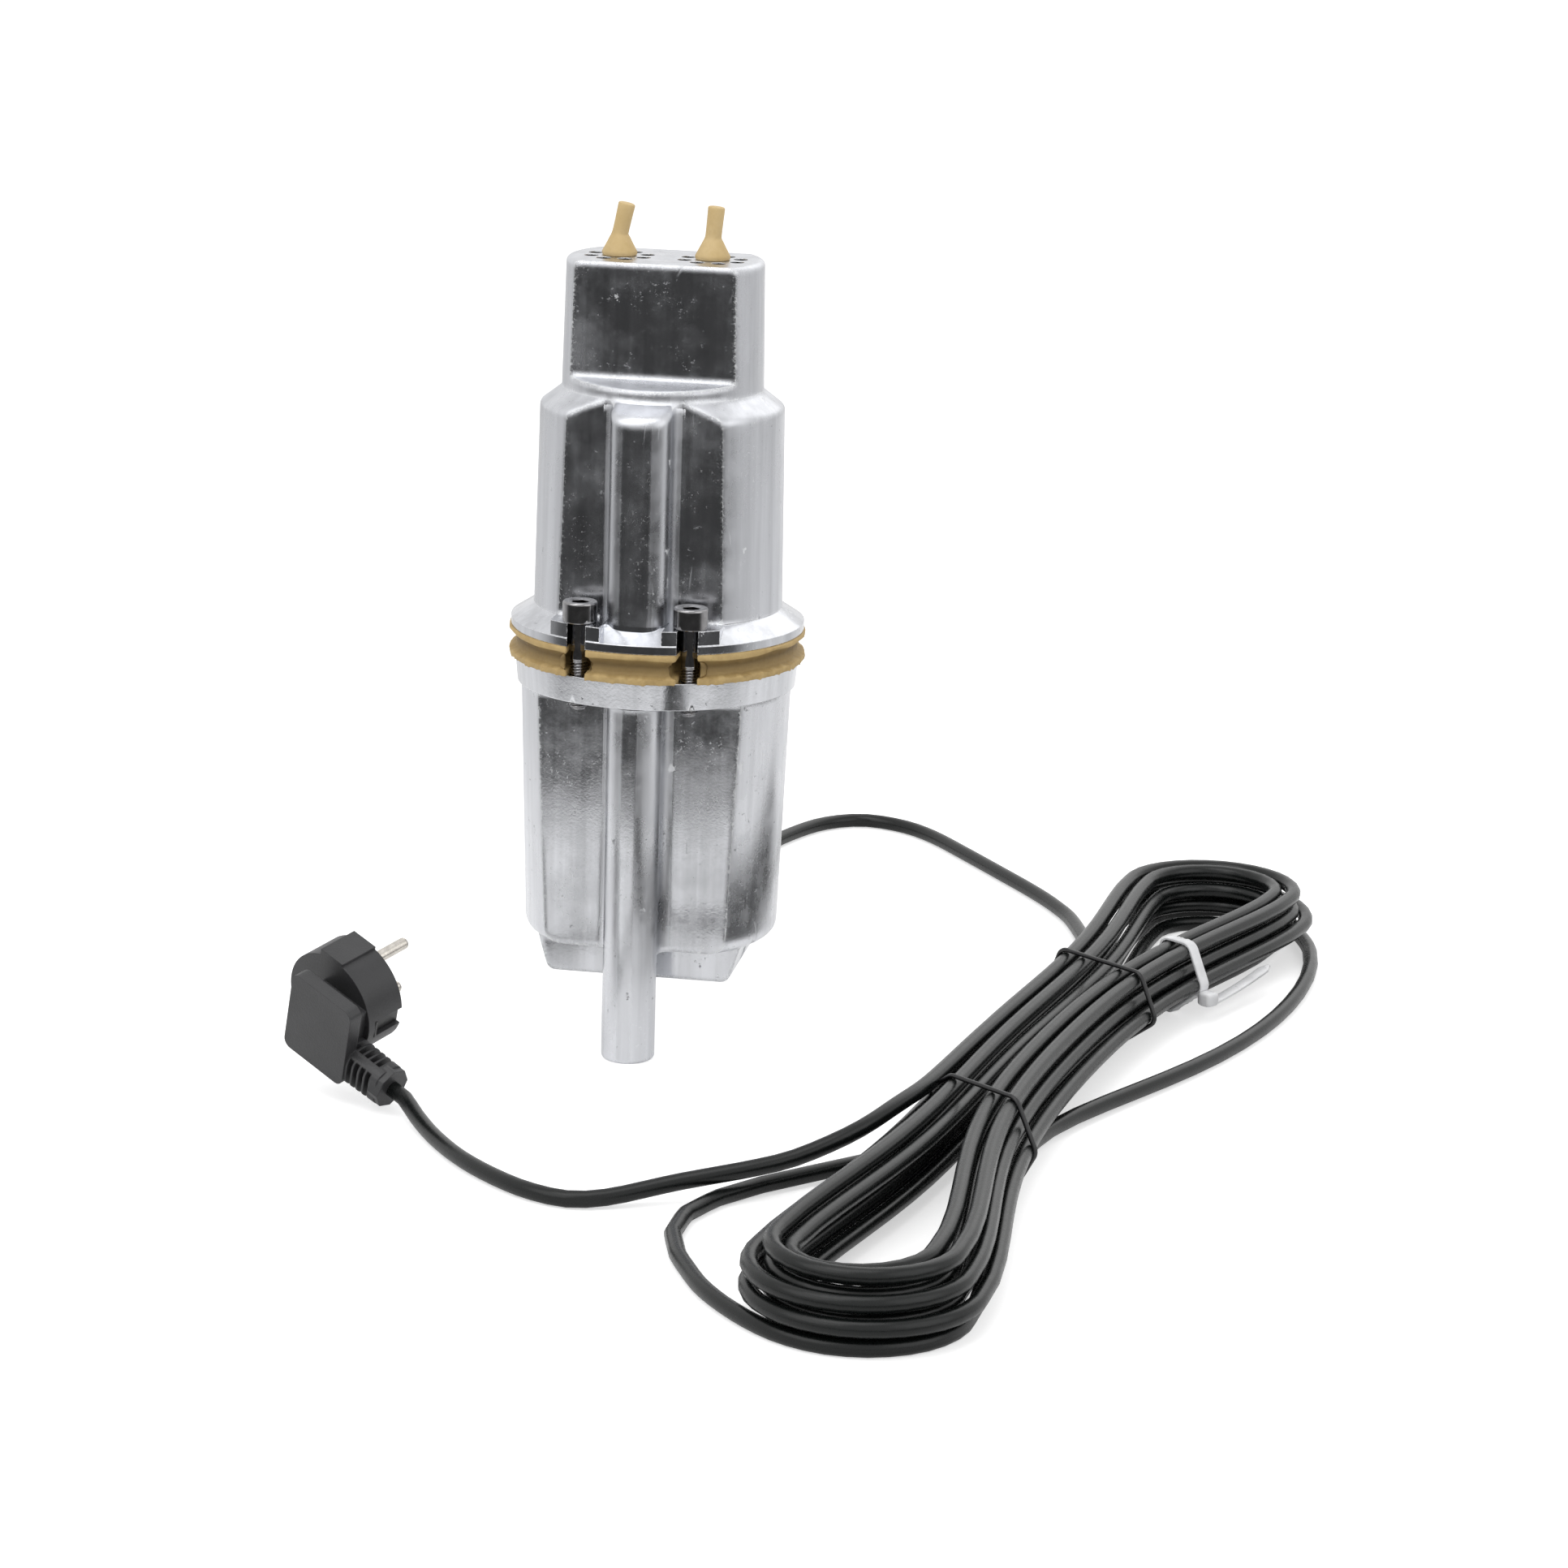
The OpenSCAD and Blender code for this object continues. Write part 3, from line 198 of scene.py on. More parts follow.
FLOOR_WHITE, FLOOR_SEEN, FLOOR_GLOW = 0.86, 0.56, 0.24
# Painted reflection: past these reaches the floor shows glossy rays the shade of a room, by direction as listed below.
PAINTED_ROOM_NEAR, PAINTED_ROOM_FAR = 0.30, 0.42
PAINTED_ROOM_SHADES = ((0.0, 0.66), (0.017, 0.52), (0.055, 0.12), (0.08, 0.045), (0.42, 0.045), (0.445, 0.12), (0.483, 0.50),
        (0.50, 0.64), (0.556, 0.90), (0.62, 0.74), (0.70, 0.96), (0.78, 0.96), (0.86, 0.78), (0.944, 0.92), (1.0, 0.66))


def make_floor():
    """White floor, pure white to the camera outside the shadows.

    Polished metal sees it white near the pump. Farther off, to glossy rays only, it shows a painted reflection of a
    room: its shade follows the direction, as the table says for each part of a turn, painted dark in front, grey at
    both sides and white behind."""
    size = 6.0
    mesh = bpy.data.meshes.new("floor")
    mesh.from_pydata([(-size, -size, 0), (size, -size, 0), (size, size, 0), (-size, size, 0)], [], [(0, 1, 2, 3)])
    material, tree, shader = new_material("white_floor")
    shader.inputs["Roughness"].default_value = 0.9
    shader.inputs["Specular IOR Level"].default_value = 0.1
    shader.inputs["Emission Color"].default_value = (1, 1, 1, 1)
    path = tree("ShaderNodeLightPath").outputs
    place = tree.object_place()
    math = tree.math
    # Painted reflection of a room: the floor's shade to glossy rays, set by direction round the pump.
    painted_room = tree.ramp(tree("ShaderNodeTexGradient", gradient_type="RADIAL", _Vector=place).outputs["Fac"], *PAINTED_ROOM_SHADES)
    reach = tree("ShaderNodeVectorMath", operation="LENGTH", _0=place).outputs["Value"]
    far = tree("ShaderNodeMapRange", interpolation_type="SMOOTHSTEP", _Value=reach, _1=PAINTED_ROOM_NEAR,
               _2=PAINTED_ROOM_FAR).outputs[0]
    painted_dim = math("MULTIPLY", far, math("SUBTRACT", 1.0, painted_room))
    shade = math("SUBTRACT", 1.0, math("MULTIPLY", path["Is Glossy Ray"], painted_dim))
    tree.link(math("MULTIPLY", FLOOR_WHITE, shade), shader.inputs["Base Color"])
    mirrored = math("MAXIMUM", path["Is Glossy Ray"], path["Is Transmission Ray"])
    glow = math("MULTIPLY", mirrored, math("MULTIPLY", math("SUBTRACT", 1.0, painted_dim), FLOOR_GLOW))
    tree.link(math("ADD", math("MULTIPLY", path["Is Camera Ray"], FLOOR_SEEN), glow),
              shader.inputs["Emission Strength"])
    mesh.materials.append(material)
    show("floor", mesh)


# ---------------------------------------------------------------- meshes from arrays

def grid_faces(rows, sides):
    """Four-sided faces between rows of points, each row a closed ring."""
    r = np.arange(rows - 1)[:, None] * sides
    c = np.arange(sides)[None, :]
    n = (c + 1) % sides
    return np.stack([r + c, r + n, r + n + sides, r + c + sides], -1).reshape(-1, 4)


def end_caps(rows, sides, first=0):
    """Faces that close the first and the last row of a grid whose points start at number first."""
    ring = first + np.arange(sides)
    return [ring[::-1], (rows - 1) * sides + ring]


def ring_angles(sides):
    return np.arange(sides) * 2 * np.pi / sides


def add_piece(name, points, faces, material, body, smooth_angle=40.0, caps=(), depth=None):
    """Mesh object at the origin from arrays of points and faces; caps are loops of point numbers to close.

    depth is a value for each point that the material reads, such as how deep it lies in a groove; the ring's rubber
    paints it as shade.
    A piece with no body is left without a parent."""
    mesh = bpy.data.meshes.new(name)
    quads = np.asarray(faces, int).reshape(-1, 4)
    loops = np.concatenate([quads.ravel()] + [np.asarray(c, int) for c in caps])
    corners = np.array([4] * len(quads) + [len(c) for c in caps])
    mesh.vertices.add(len(points))
    mesh.vertices.foreach_set("co", np.asarray(points, float).ravel())
    mesh.loops.add(len(loops))
    mesh.loops.foreach_set("vertex_index", loops)
    mesh.polygons.add(len(corners))
    mesh.polygons.foreach_set("loop_start", np.cumsum(corners) - corners)
    # Per-point value that the material reads as painted shade.
    if depth is not None:
        mesh.attributes.new("depth", "FLOAT", "POINT").data.foreach_set("value", np.asarray(depth, np.float32))
    mesh.update(calc_edges=True)
    mesh.validate()
    mesh.polygons.foreach_set("use_smooth", np.ones(len(mesh.polygons), bool))
    mesh.set_sharp_from_angle(angle=np.radians(smooth_angle))
    mesh.materials.append(material)
    piece = show(name, mesh)
    if body:
        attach(piece, body)
    return piece


def flex(piece):
    """Rubber sheet: its points stand at their radius along X while its transform is baked in, and the points at rest go
    back after it."""
    at_rest = np.empty(len(piece.data.vertices) * 3)
    piece.data.vertices.foreach_get("co", at_rest)
    by_radius = at_rest.reshape(-1, 3).copy()
    by_radius[:, 0] = np.hypot(by_radius[:, 0], by_radius[:, 1])
    piece.data.vertices.foreach_set("co", by_radius.ravel())
    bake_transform(piece)
    piece.data.vertices.foreach_set("co", at_rest)
    piece.data.update()


# ---------------------------------------------------------------- mains cord

CORD_D = 5.4
LEAD_IN = [
    (0, 46, 29.7), (0, 56, 29.2), (0, 68, 25), (-1, 80, 17), (-2, 92, 9), (-3, 105, 4.6), (-4, 120, 2.85),
    (-6, 145, 2.85), (-7, 170, 2.85), (-5, 200, 2.85), (0, 227, 2.85), (7, 251, 2.85), (18, 273, 2.85),
    (33, 283, 2.85), (50, 278, 2.85), (64, 265, 2.85), (79, 244, 2.85), (96, 219, 2.85), (112, 195, 2.85),
    (123, 176, 2.85), (132, 155, 2.85)]
LEAD_OUT = [
    (112, -110.5, 23.8), (105, -132, 23), (96.5, -148, 20), (87, -157, 16.5), (76, -163.5, 12.8),
    (64.8, -169.5, 10.9), (53.5, -173.5, 9), (43, -176.5, 7), (33, -180.5, 5), (23, -185, 3.4),
    (12, -187.8, 2.85), (-1, -183.5, 2.85), (-14, -174, 2.85), (-28, -160, 2.85), (-40.5, -143, 2.85),
    (-50, -128, 3.7)]
HANK_CENTRE, HANK_HEADING = np.array([148.0, -54.0]), np.radians(10.0)
HANK_RUN, HANK_FOLD, HANK_WAIST, HANK_BOW = 205.0, 21.0, 4.0, 10.0
HANK_STEP, HANK_LAYER, HANK_LIFT, HANK_SPIRAL, HANK_RINGS, HANK_TURNS = 6.8, 6.5, 1.6, 2.0, 24, 9.14
LOOSE_LEFT, LOOSE_RIGHT, LOOSE_END = 45.0, 33.0, 14.0
LEFT_BULGE, RIGHT_BULGE = (-150.0, 90.0), (95.0, 155.0)
PLUG_PLACE, PLUG_TURN = np.array([-79.8, -85.05, 33.0]), np.radians([21.5, -12.3, 58.0])
BOOT_X, BOOT_Z, BOOT_END = -20.0, -8.5, 35.7


def hank_side(k):
    """Half the gap between the hank's inner runs, k being the place along them from -1 to 1."""
    return HANK_WAIST + (HANK_FOLD - HANK_WAIST) * k ** 4 * (5 - 4 * abs(k))


def hank_bow(k):
    """How far both runs bend aside."""
    return -HANK_BOW * (1 - k * k) ** 2


def from_hank(uv, z):
    """Points in the frame, in mm, from distances along and across the hank."""
    c, d = np.cos(HANK_HEADING), np.sin(HANK_HEADING)
    return np.stack([HANK_CENTRE[0] + uv[:, 0] * d + uv[:, 1] * c, HANK_CENTRE[1] + uv[:, 0] * c - uv[:, 1] * d, z], -1)


def to_hank(points):
    """Distances along and across the hank of points in the frame."""
    c, d = np.cos(HANK_HEADING), np.sin(HANK_HEADING)
    x, y = points[:, 0] - HANK_CENTRE[0], points[:, 1] - HANK_CENTRE[1]
    return np.stack([x * d + y * c, x * c - y * d], -1)


def hank_way(uv):
    """Direction in the frame of a direction in the hank's plane."""
    return (from_hank(np.array([uv]), np.zeros(1)) - from_hank(np.zeros((1, 2)), np.zeros(1)))[0]


def hank_line(t):
    """Middle of the cord after t turns of the hank: straight runs drawn in at the waist, joined by round folds.

    Each loop spirals inwards or outwards by a step a turn, and climbs a layer after every two turns."""
    per = HANK_SPIRAL + 0.5
    layer = np.floor(t / per)
    f = t - layer * per
    q = np.minimum(f, HANK_SPIRAL)
    rho = np.where(layer % 2 == 0, HANK_SPIRAL - q, q) * HANK_STEP
    up = CORD_D / 2 + (layer + np.maximum(0, f - HANK_SPIRAL) * 2) * HANK_LAYER
    s = t - np.floor(t)
    r = HANK_FOLD + rho
    k = np.where(s < 0.25, 1 - 8 * s, np.where(s < 0.75, 8 * (s - 0.5) - 1, 1.0))
    k = np.where((s >= 0.25) & (s < 0.5), -1.0, k)
    first = t < 1
    side, bow = hank_side(k) + rho, hank_bow(k)
    near = 4 * np.pi * (s - 0.25)
    far = 4 * np.pi * (s - 0.75)
    pick = [s < 0.25, s < 0.5, s < 0.75]
    u = np.select(pick, [HANK_RUN * k, -HANK_RUN - r * np.sin(near), HANK_RUN * k],
                  HANK_RUN + (r + np.where(first, LOOSE_END, 0)) * np.sin(far))
    v = np.select(pick, [bow - side, -r * np.cos(near), bow + side], r * np.cos(far))
    swell = lambda middle, reach: np.where(abs(u - middle) < reach, (1 - ((u - middle) / reach) ** 2) ** 2, 0.0)
    left = np.where(first & (s < 0.375), swell(*LEFT_BULGE), 0)
    right = np.where(first & (s >= 0.5) & (s < 0.875), swell(*RIGHT_BULGE), 0)
    v = v - LOOSE_LEFT * left + LOOSE_RIGHT * right
    z = up + np.where((s < 0.25) | ((s >= 0.5) & (s < 0.75)), HANK_LIFT * (1 - k ** 4) * (1 - left) * (1 - right), 0)
    return from_hank(np.stack([u, v], -1), z)


def spline(points, steps):
    """Smooth curve through the points, each stretch cut into steps."""
    p = np.asarray(points, float)
    n = len(p)
    i = np.repeat(np.arange(n - 1), steps)
    s = np.tile(np.arange(steps) / steps, n - 1)[:, None]
    p0, p1, p2, p3 = p[np.maximum(i - 1, 0)], p[i], p[i + 1], p[np.minimum(i + 2, n - 1)]
    curve = 0.5 * (2 * p1 + (p2 - p0) * s + (2 * p0 - 5 * p1 + 4 * p2 - p3) * s ** 2
                   + (3 * p1 - p0 - 3 * p2 + p3) * s ** 3)
    return np.concatenate([curve, p[-1:]])


def turn_matrix(angles):
    """Rotation about X, then Y, then Z."""
    (cx, cy, cz), (sx, sy, sz) = np.cos(angles), np.sin(angles)
    about_x = np.array([[1, 0, 0], [0, cx, -sx], [0, sx, cx]])
    about_y = np.array([[cy, 0, sy], [0, 1, 0], [-sy, 0, cy]])
    about_z = np.array([[cz, -sz, 0], [sz, cz, 0], [0, 0, 1]])
    return about_z @ about_y @ about_x


PLUG_AXES = turn_matrix(PLUG_TURN)


def plug_point(p):
    return PLUG_PLACE + np.asarray(p, float) @ PLUG_AXES.T


def even_steps(points, gap):
    """The same line with its points an even gap apart."""
    way = np.concatenate([[0], np.cumsum(np.linalg.norm(np.diff(points, axis=0), axis=1))])
    mark = np.linspace(0, way[-1], int(round(way[-1] / gap)) + 1)
    return np.stack([np.interp(mark, way, points[:, i]) for i in range(3)], -1)


def cord_line():
    """Whole route: out of the grommet, round behind the pump, through the hank and on to the plug's boot."""
    steps = int(np.floor(HANK_TURNS * HANK_RINGS))
    hank = hank_line(np.linspace(1 / HANK_RINGS, steps / HANK_RINGS, (steps - 1) * 4 + 1))
    unit = lambda v: v / np.linalg.norm(v)
    back, ahead = unit(hank[0] - hank[1]), unit(hank[-1] - hank[-2])
    mouth, outside = plug_point((BOOT_X, -BOOT_END, BOOT_Z)), plug_point((BOOT_X, -BOOT_END - CORD_D, BOOT_Z))
    inward = spline(LEAD_IN + [hank[0] + back * 16.2, hank[0] + back * 5.4], 6)
    outward = spline([hank[-1] + ahead * 5.4, hank[-1] + ahead * 16.2] + LEAD_OUT + [outside, mouth], 6)
    return even_steps(np.concatenate([inward, hank, outward]), 6.0) * MM


def tube(line, radius, sides):
    """Round tube along a line: each ring stands square to the line, one of its corners straight down."""
    way = np.gradient(line, axis=0)
    way /= np.linalg.norm(way, axis=1)[:, None]
    side = np.cross((0, 0, 1.0), way)
    side /= np.linalg.norm(side, axis=1)[:, None]
    up = np.cross(way, side)
    a = ring_angles(sides)[:, None] - np.pi / 2
    return (line[:, None] + radius * (np.cos(a) * side[:, None] + np.sin(a) * up[:, None])).reshape(-1, 3)


def make_cord(material):
    """The whole cord as one closed tube."""
    line = cord_line()
    sides = 14
    points = tube(line, CORD_D / 2 * MM, sides)
    n = len(line)
    piece = add_piece("mains_cord", points, grid_faces(n, sides), material, "casing",
                      caps=end_caps(n, sides))
    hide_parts("cord_lead_in", "cord_hank", "cord_lead_out")


# ---------------------------------------------------------------- lathe work

Z_FLANGE, Z_JOINT, Z_RIM, Z_PAD, Z_TOP = 123.0, 132.2, 142.2, 150.1, 266.3
SCREW_X, SCREW_Y = 18.6, 39.9
RING_R, SEAT_R, DISC_R, ROD_R = 50.0, 24.3, 22.8, 4.0
VALVE_X = 15.7
SKIN = 0.02


def turned(radii, heights, sides):
    """Rows of points round Z: each row has one radius and one height, or a radius for each side."""
    a = ring_angles(sides)
    r = np.broadcast_to(np.asarray(radii, float).reshape(len(heights), -1), (len(heights), sides))
    z = np.broadcast_to(np.asarray(heights, float)[:, None], r.shape)
    return np.stack([r * np.cos(a), r * np.sin(a), z], -1)


def lathe_piece(name, profile, material, body, sides=72, place=(0, 0, 0), axis="Z"):
    """Closed solid of revolution from (radius, height) pairs; a profile that starts and ends at radius 0 is capped."""
    profile = np.asarray(profile, float)
    hollow = profile[0][0] > 0
    rows = np.concatenate([profile, profile[:1]]) if hollow else profile[1:-1]
    points = turned(rows[:, 0], rows[:, 1], sides)
    n = len(rows)
    if hollow:
        points = points[:-1]
    grid = points.reshape(-1, 3)
    faces = grid_faces(n, sides) % len(grid)
    if axis == "Y":
        grid = grid[:, [0, 2, 1]] * (-1, 1, 1)
    return add_piece(name, (grid + place) * MM, faces, material, body, caps=() if hollow else end_caps(n, sides))


def clamping_screw(x, y):
    """Socket-head screw: the thread's radius dips by the fraction of a turn, so its grooves wind up the shank.

    Rows run from the tip up the thread, the plain shank, under and round the head, and down the hexagon."""
    sides, pitch, crest, shank, socket = 48, 1.0, 3.0, 2.92, 3.1
    z_tip, z_plain, head_r, head_h = Z_FLANGE - 2.5, 137.4, 5.8, 7.1
    a = ring_angles(sides)
    z = np.arange(z_tip, z_plain, pitch / 8)[:, None]
    groove = 1 - abs(2 * ((z / pitch - a / (2 * np.pi)) % 1) - 1)
    fade = np.clip((z_plain - z) / pitch, 0, 1)
    thread = np.minimum(crest - 0.62 * groove ** 1.3 * fade, 1.9 + (z - z_tip) * 0.9)
    thread_rows = np.broadcast_to(z, thread.shape)
    hexagon = socket * np.cos(np.pi / 6) / np.cos((a + np.pi / 6) % (np.pi / 3) - np.pi / 6)
    top = Z_PAD + head_h
    upper = [*[(shank, z) for z in (z_plain + 0.1, z_plain + 0.4, Z_PAD - 0.5, Z_PAD - 0.2)], (3.05, Z_PAD),
             (head_r - 0.45, Z_PAD + 0.01), (head_r - 0.25, Z_PAD + 0.05), (head_r, Z_PAD + 0.35),
             (head_r, Z_PAD + 0.55), (head_r, top - 1.0), (head_r, top - 0.75), (head_r - 0.12, top - 0.35),
             (head_r - 0.42, top - 0.08), (head_r - 0.75, top), (head_r - 0.95, top), (4.1, top - 0.02),
             (3.55, top - 0.12)]
    radii = np.concatenate([thread, [np.full(sides, r) for r, _ in upper],
                            [hexagon, hexagon, hexagon * 0.985, hexagon * 0.4]])
    heights = np.concatenate([thread_rows, [np.full(sides, h) for _, h in upper],
                              [np.full(sides, h) for h in (top - 0.45, top - 0.6, top - 3.4, top - 4.0)]])
    return np.stack([x + radii * np.cos(a), y + radii * np.sin(a), heights], -1)


def make_screws(material):
    rows = [clamping_screw(sx * SCREW_X, sy * SCREW_Y) for sx in (-1, 1) for sy in (-1, 1)]
    n, sides = rows[0].shape[:2]
    starts = np.arange(4) * n * sides
    faces = np.concatenate([grid_faces(n, sides) + start for start in starts])
    caps = [cap for start in starts for cap in end_caps(n, sides, start)]
    piece = add_piece("clamping_screw_set", np.concatenate(rows).reshape(-1, 3) * MM, faces, material, "casing",
                      smooth_angle=32, caps=caps)
    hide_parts("clamping_screws")


RIB_HALF, RIB_BASE, RIB_DEPTH, RIB_BACK = 10.05, 35.1, 8.9, 30.0
RIB_POWER, RIB_HOLLOW, RIB_EDGE = 2.0 / 2.7, 3.6, 1.7
RIB_END = (18.5, 30.9)
LEDGE_Z, LEDGE_R, LEDGE_FALL = 222.52, 34.6, 0.415


def rib_plan():
    """Superellipse between two hollow quarter rounds, closed along a straight back inside the casting."""
    u, v = np.linspace(-np.pi / 2, np.pi / 2, 65), np.linspace(0, np.pi / 2, 9)[:-1]
    bend = lambda v: np.sign(v) * abs(v) ** RIB_POWER
    foot_x, foot_y = RIB_HALF + RIB_HOLLOW - RIB_HOLLOW * np.sin(v), RIB_BASE - RIB_HOLLOW * np.cos(v)
    (end_x, end_y), back = RIB_END, RIB_BACK
    x = np.concatenate([[-end_x, -end_x], -foot_x, RIB_HALF * bend(np.sin(u)), foot_x[::-1], [end_x, end_x]])
    y = np.concatenate([[back, end_y], foot_y, RIB_BASE + RIB_DEPTH * bend(np.cos(u)), foot_y[::-1], [end_y, back]])
    return x, y


def rib_top(x, y):
    """Height of the rib's top: the ledge's, less what it falls with the way from the axis, and lower at the sides."""
    return (LEDGE_Z - LEDGE_FALL * np.maximum(np.hypot(x, y) - LEDGE_R, 0)
            - 2.5 * np.clip(abs(x) - RIB_HALF - RIB_HOLLOW, 0, 1))


def make_nose_rib(material):
    """Round rib down the front and the back of the pump body, over the plainer one of the casting.

    It rises straight, rounds over its edge, and its top runs back to the ledge under the head."""
    x, y = rib_plan()
    rows = [np.stack([x, y, np.full_like(x, z)], -1) for z in (144.0, 146.0, 149.0, 160.0, 200.0, 214.0, 215.4)]
    for a in np.radians(np.arange(0, 91, 15)):
        k = RIB_EDGE * (1 - np.cos(a))
        px, py = x * (1 - k / RIB_HALF), RIB_BACK + (y - RIB_BACK) * (1 - k / RIB_DEPTH)
        rows.append(np.stack([px, py, rib_top(px, py) - RIB_EDGE * (1 - np.sin(a))], -1))
    for k in (0.92, 0.8, 0.65, 0.5, 0.35, 0.2, 0.0):
        qy = RIB_BACK + (py - RIB_BACK) * k
        rows.append(np.stack([px, qy, rib_top(px, qy)], -1))
    grid = np.stack(rows)
    n, sides = grid.shape[:2]
    second = n * sides
    quads = grid_faces(n, sides)
    piece = add_piece("nose_ribs", np.concatenate([grid * (1, -1, 1), grid * (-1, 1, 1)]).reshape(-1, 3) * MM,
                      np.concatenate([quads, quads + second]), material, "casing", smooth_angle=50,
                      caps=end_caps(n, sides) + end_caps(n, sides, second))


def waves(t, counts, seed):
    """Smooth closed random wave about -1 to 1 over t from 0 to 1: cosines of whole counts with seeded phases."""
    rng = np.random.default_rng(seed)
    phase = rng.uniform(0, 2 * np.pi, len(counts))
    size = rng.uniform(0.5, 1.0, len(counts))
    return (size[:, None] * np.cos(2 * np.pi * np.asarray(counts)[:, None] * t[None, :] + phase[:, None])).sum(0) \
        / size.sum() * 1.6


def ring_outline():
    """Plan of the rubber ring: round, with a slot from each screw hole to the edge; its points and outward ways.

    The ways are blurred along the outline, so an inset turns the slot's corners without folding."""
    gap, half = 0.6, 3.3

    def arc(radius, start, end, count, centre=(0, 0)):
        a = np.radians(np.linspace(start, end, count))
        return np.stack([np.cos(a), np.sin(a)], -1) * radius + centre

    def blur(v, width):
        soft = np.exp(-2 * (np.pi * np.fft.fftfreq(len(v)) * width / gap) ** 2)
        return np.real(np.fft.ifft(np.fft.fft(v, axis=0) * soft[:, None], axis=0))

    near, far = np.degrees(np.arcsin(np.array([SCREW_X - half, SCREW_X + half]) / RING_R)) - 90
    side = np.concatenate([arc(RING_R, -90, near, 40), arc(half, 180, 0, 30, (SCREW_X, -SCREW_Y)),
                           arc(RING_R, far, 0, 80)])
    plan = np.concatenate([side, (side * (1, -1))[::-1][1:], (side * (-1, -1))[1:], (side * (-1, 1))[::-1][1:]])
    plan = even_steps(np.concatenate([plan, plan[:, :1] * 0], -1), gap)[:-1, :2]
    plan = blur(plan, 0.45)
    along = np.roll(plan, -1, 0) - np.roll(plan, 1, 0)
    out = blur(np.stack([along[:, 1], -along[:, 0]], -1) / np.linalg.norm(along, axis=1)[:, None], 1.3)
    return plan, out


def ring_section(n):
    """Inset and height of the ring's outer rows, from the foot of the lower lip to the top of the upper one.

    The upper lip waves in thickness and reach, the lower one is ragged and droops over the flange in places."""
    t = np.arange(n) / n
    wavy = waves(t, (5, 7, 11, 16, 23), 4)
    fine = waves(t, (31, 47, 66, 91, 120), 9)
    ragged = waves(t, (19, 29, 43, 71, 110, 150), 21)
    s = np.linspace(0, 1, 11)
    lip = 1.9
    dip = 2.7 * np.sin(np.pi * s ** 0.8) ** 0.45 - 0.35 * np.exp(-((s - 0.38) / 0.10) ** 2)
    inset = [np.full(n, 1.0), 0.30 - 0.25 * ragged, 0.05 - 0.20 * ragged, 0.10 - 0.12 * fine]
    height = [np.full(n, Z_JOINT + 0.02), Z_JOINT - 0.05 - 0.32 * np.maximum(ragged, 0), Z_JOINT + 0.7 + 0.1 * ragged,
              Z_JOINT + lip - 0.3 + 0.18 * fine]
    inset += [dip_i + 0.12 + 0.05 * fine for dip_i in dip]
    height += [Z_JOINT + lip + (Z_RIM - Z_JOINT - 2 * lip) * s_i + 0.20 * fine * (1 - s_i) + 0.45 * wavy * s_i
               for s_i in s]
    inset += [0.0 - 0.25 * wavy, -0.12 - 0.28 * wavy, 0.15 - 0.2 * wavy, np.full(n, 0.6)]
    height += [Z_RIM - lip + 0.35 + 0.5 * wavy, Z_RIM - 0.75 + 0.2 * wavy, Z_RIM - 0.2 + 0.05 * fine,
               np.full(n, Z_RIM - 0.02)]
    return np.stack(inset), np.stack(height)


def flat_ring(points, rim, hole, up):
    """Triangles between a rim and the hole in it, both lists of point numbers, all facing up or all down."""
    number = np.concatenate([rim, hole])
    loops = [[Vector((*points[i, :2], 0)) for i in loop] for loop in (rim, hole)]
    tris = number[np.array(tessellate_polygon(loops))]
    a, b, c = points[tris[:, 0]], points[tris[:, 1]], points[tris[:, 2]]
    turn = np.cross(b - a, c - a)[:, 2] > 0
    tris[turn != up] = tris[turn != up][:, ::-1]
    return list(tris)


def make_shock_absorber(material):
    """Rubber ring: its section, two lips with a groove between, is inset from the outline and carried round it.

    Its middle is a thinner web round the rod, gripped by the clamp discs."""
    plan, out = ring_outline()
    n = len(plan)
    inset, height = ring_section(n)
    flat = plan[None] - out[None] * inset[..., None]
    outer = np.concatenate([flat, height[..., None]], -1).reshape(-1, 3)
    rows, sides, recess, grip = len(inset), 96, 1.5, 14.0
    web = [*np.linspace(DISC_R, grip, 7), ROD_R + SKIN]
    deep = len(web)
    bore = turned([SEAT_R, *web, *web[::-1], SEAT_R],
                  [Z_RIM, *[Z_RIM - recess] * deep, *[Z_JOINT + recess] * deep, Z_JOINT + 0.03], sides).reshape(-1, 3)
    bore_rows = 2 * deep + 2
    first = len(outer)
    faces = np.concatenate([grid_faces(rows, n), grid_faces(bore_rows, sides) + first])
    points = np.concatenate([outer, bore])
    flats = (flat_ring(points, (rows - 1) * n + np.arange(n), first + np.arange(sides), True)
             + flat_ring(points, np.arange(n), first + (bore_rows - 1) * sides + np.arange(sides), False))
    # Painted shade for the groove: darker the deeper a point is inset, strongest under the upper lip.
    upper = np.clip((height - (Z_JOINT + 3.2)) / 2.5, 0, 1)
    groove = np.clip(inset / 2.6, 0, 1) * (0.55 + 0.45 * upper)
    piece = add_piece("rubber_shock_absorber", points * MM, faces, material, None, smooth_angle=60, caps=flats,
                      depth=np.concatenate([groove.ravel(), np.zeros(len(bore))]))
    flex(piece)
    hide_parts("shock_absorber")


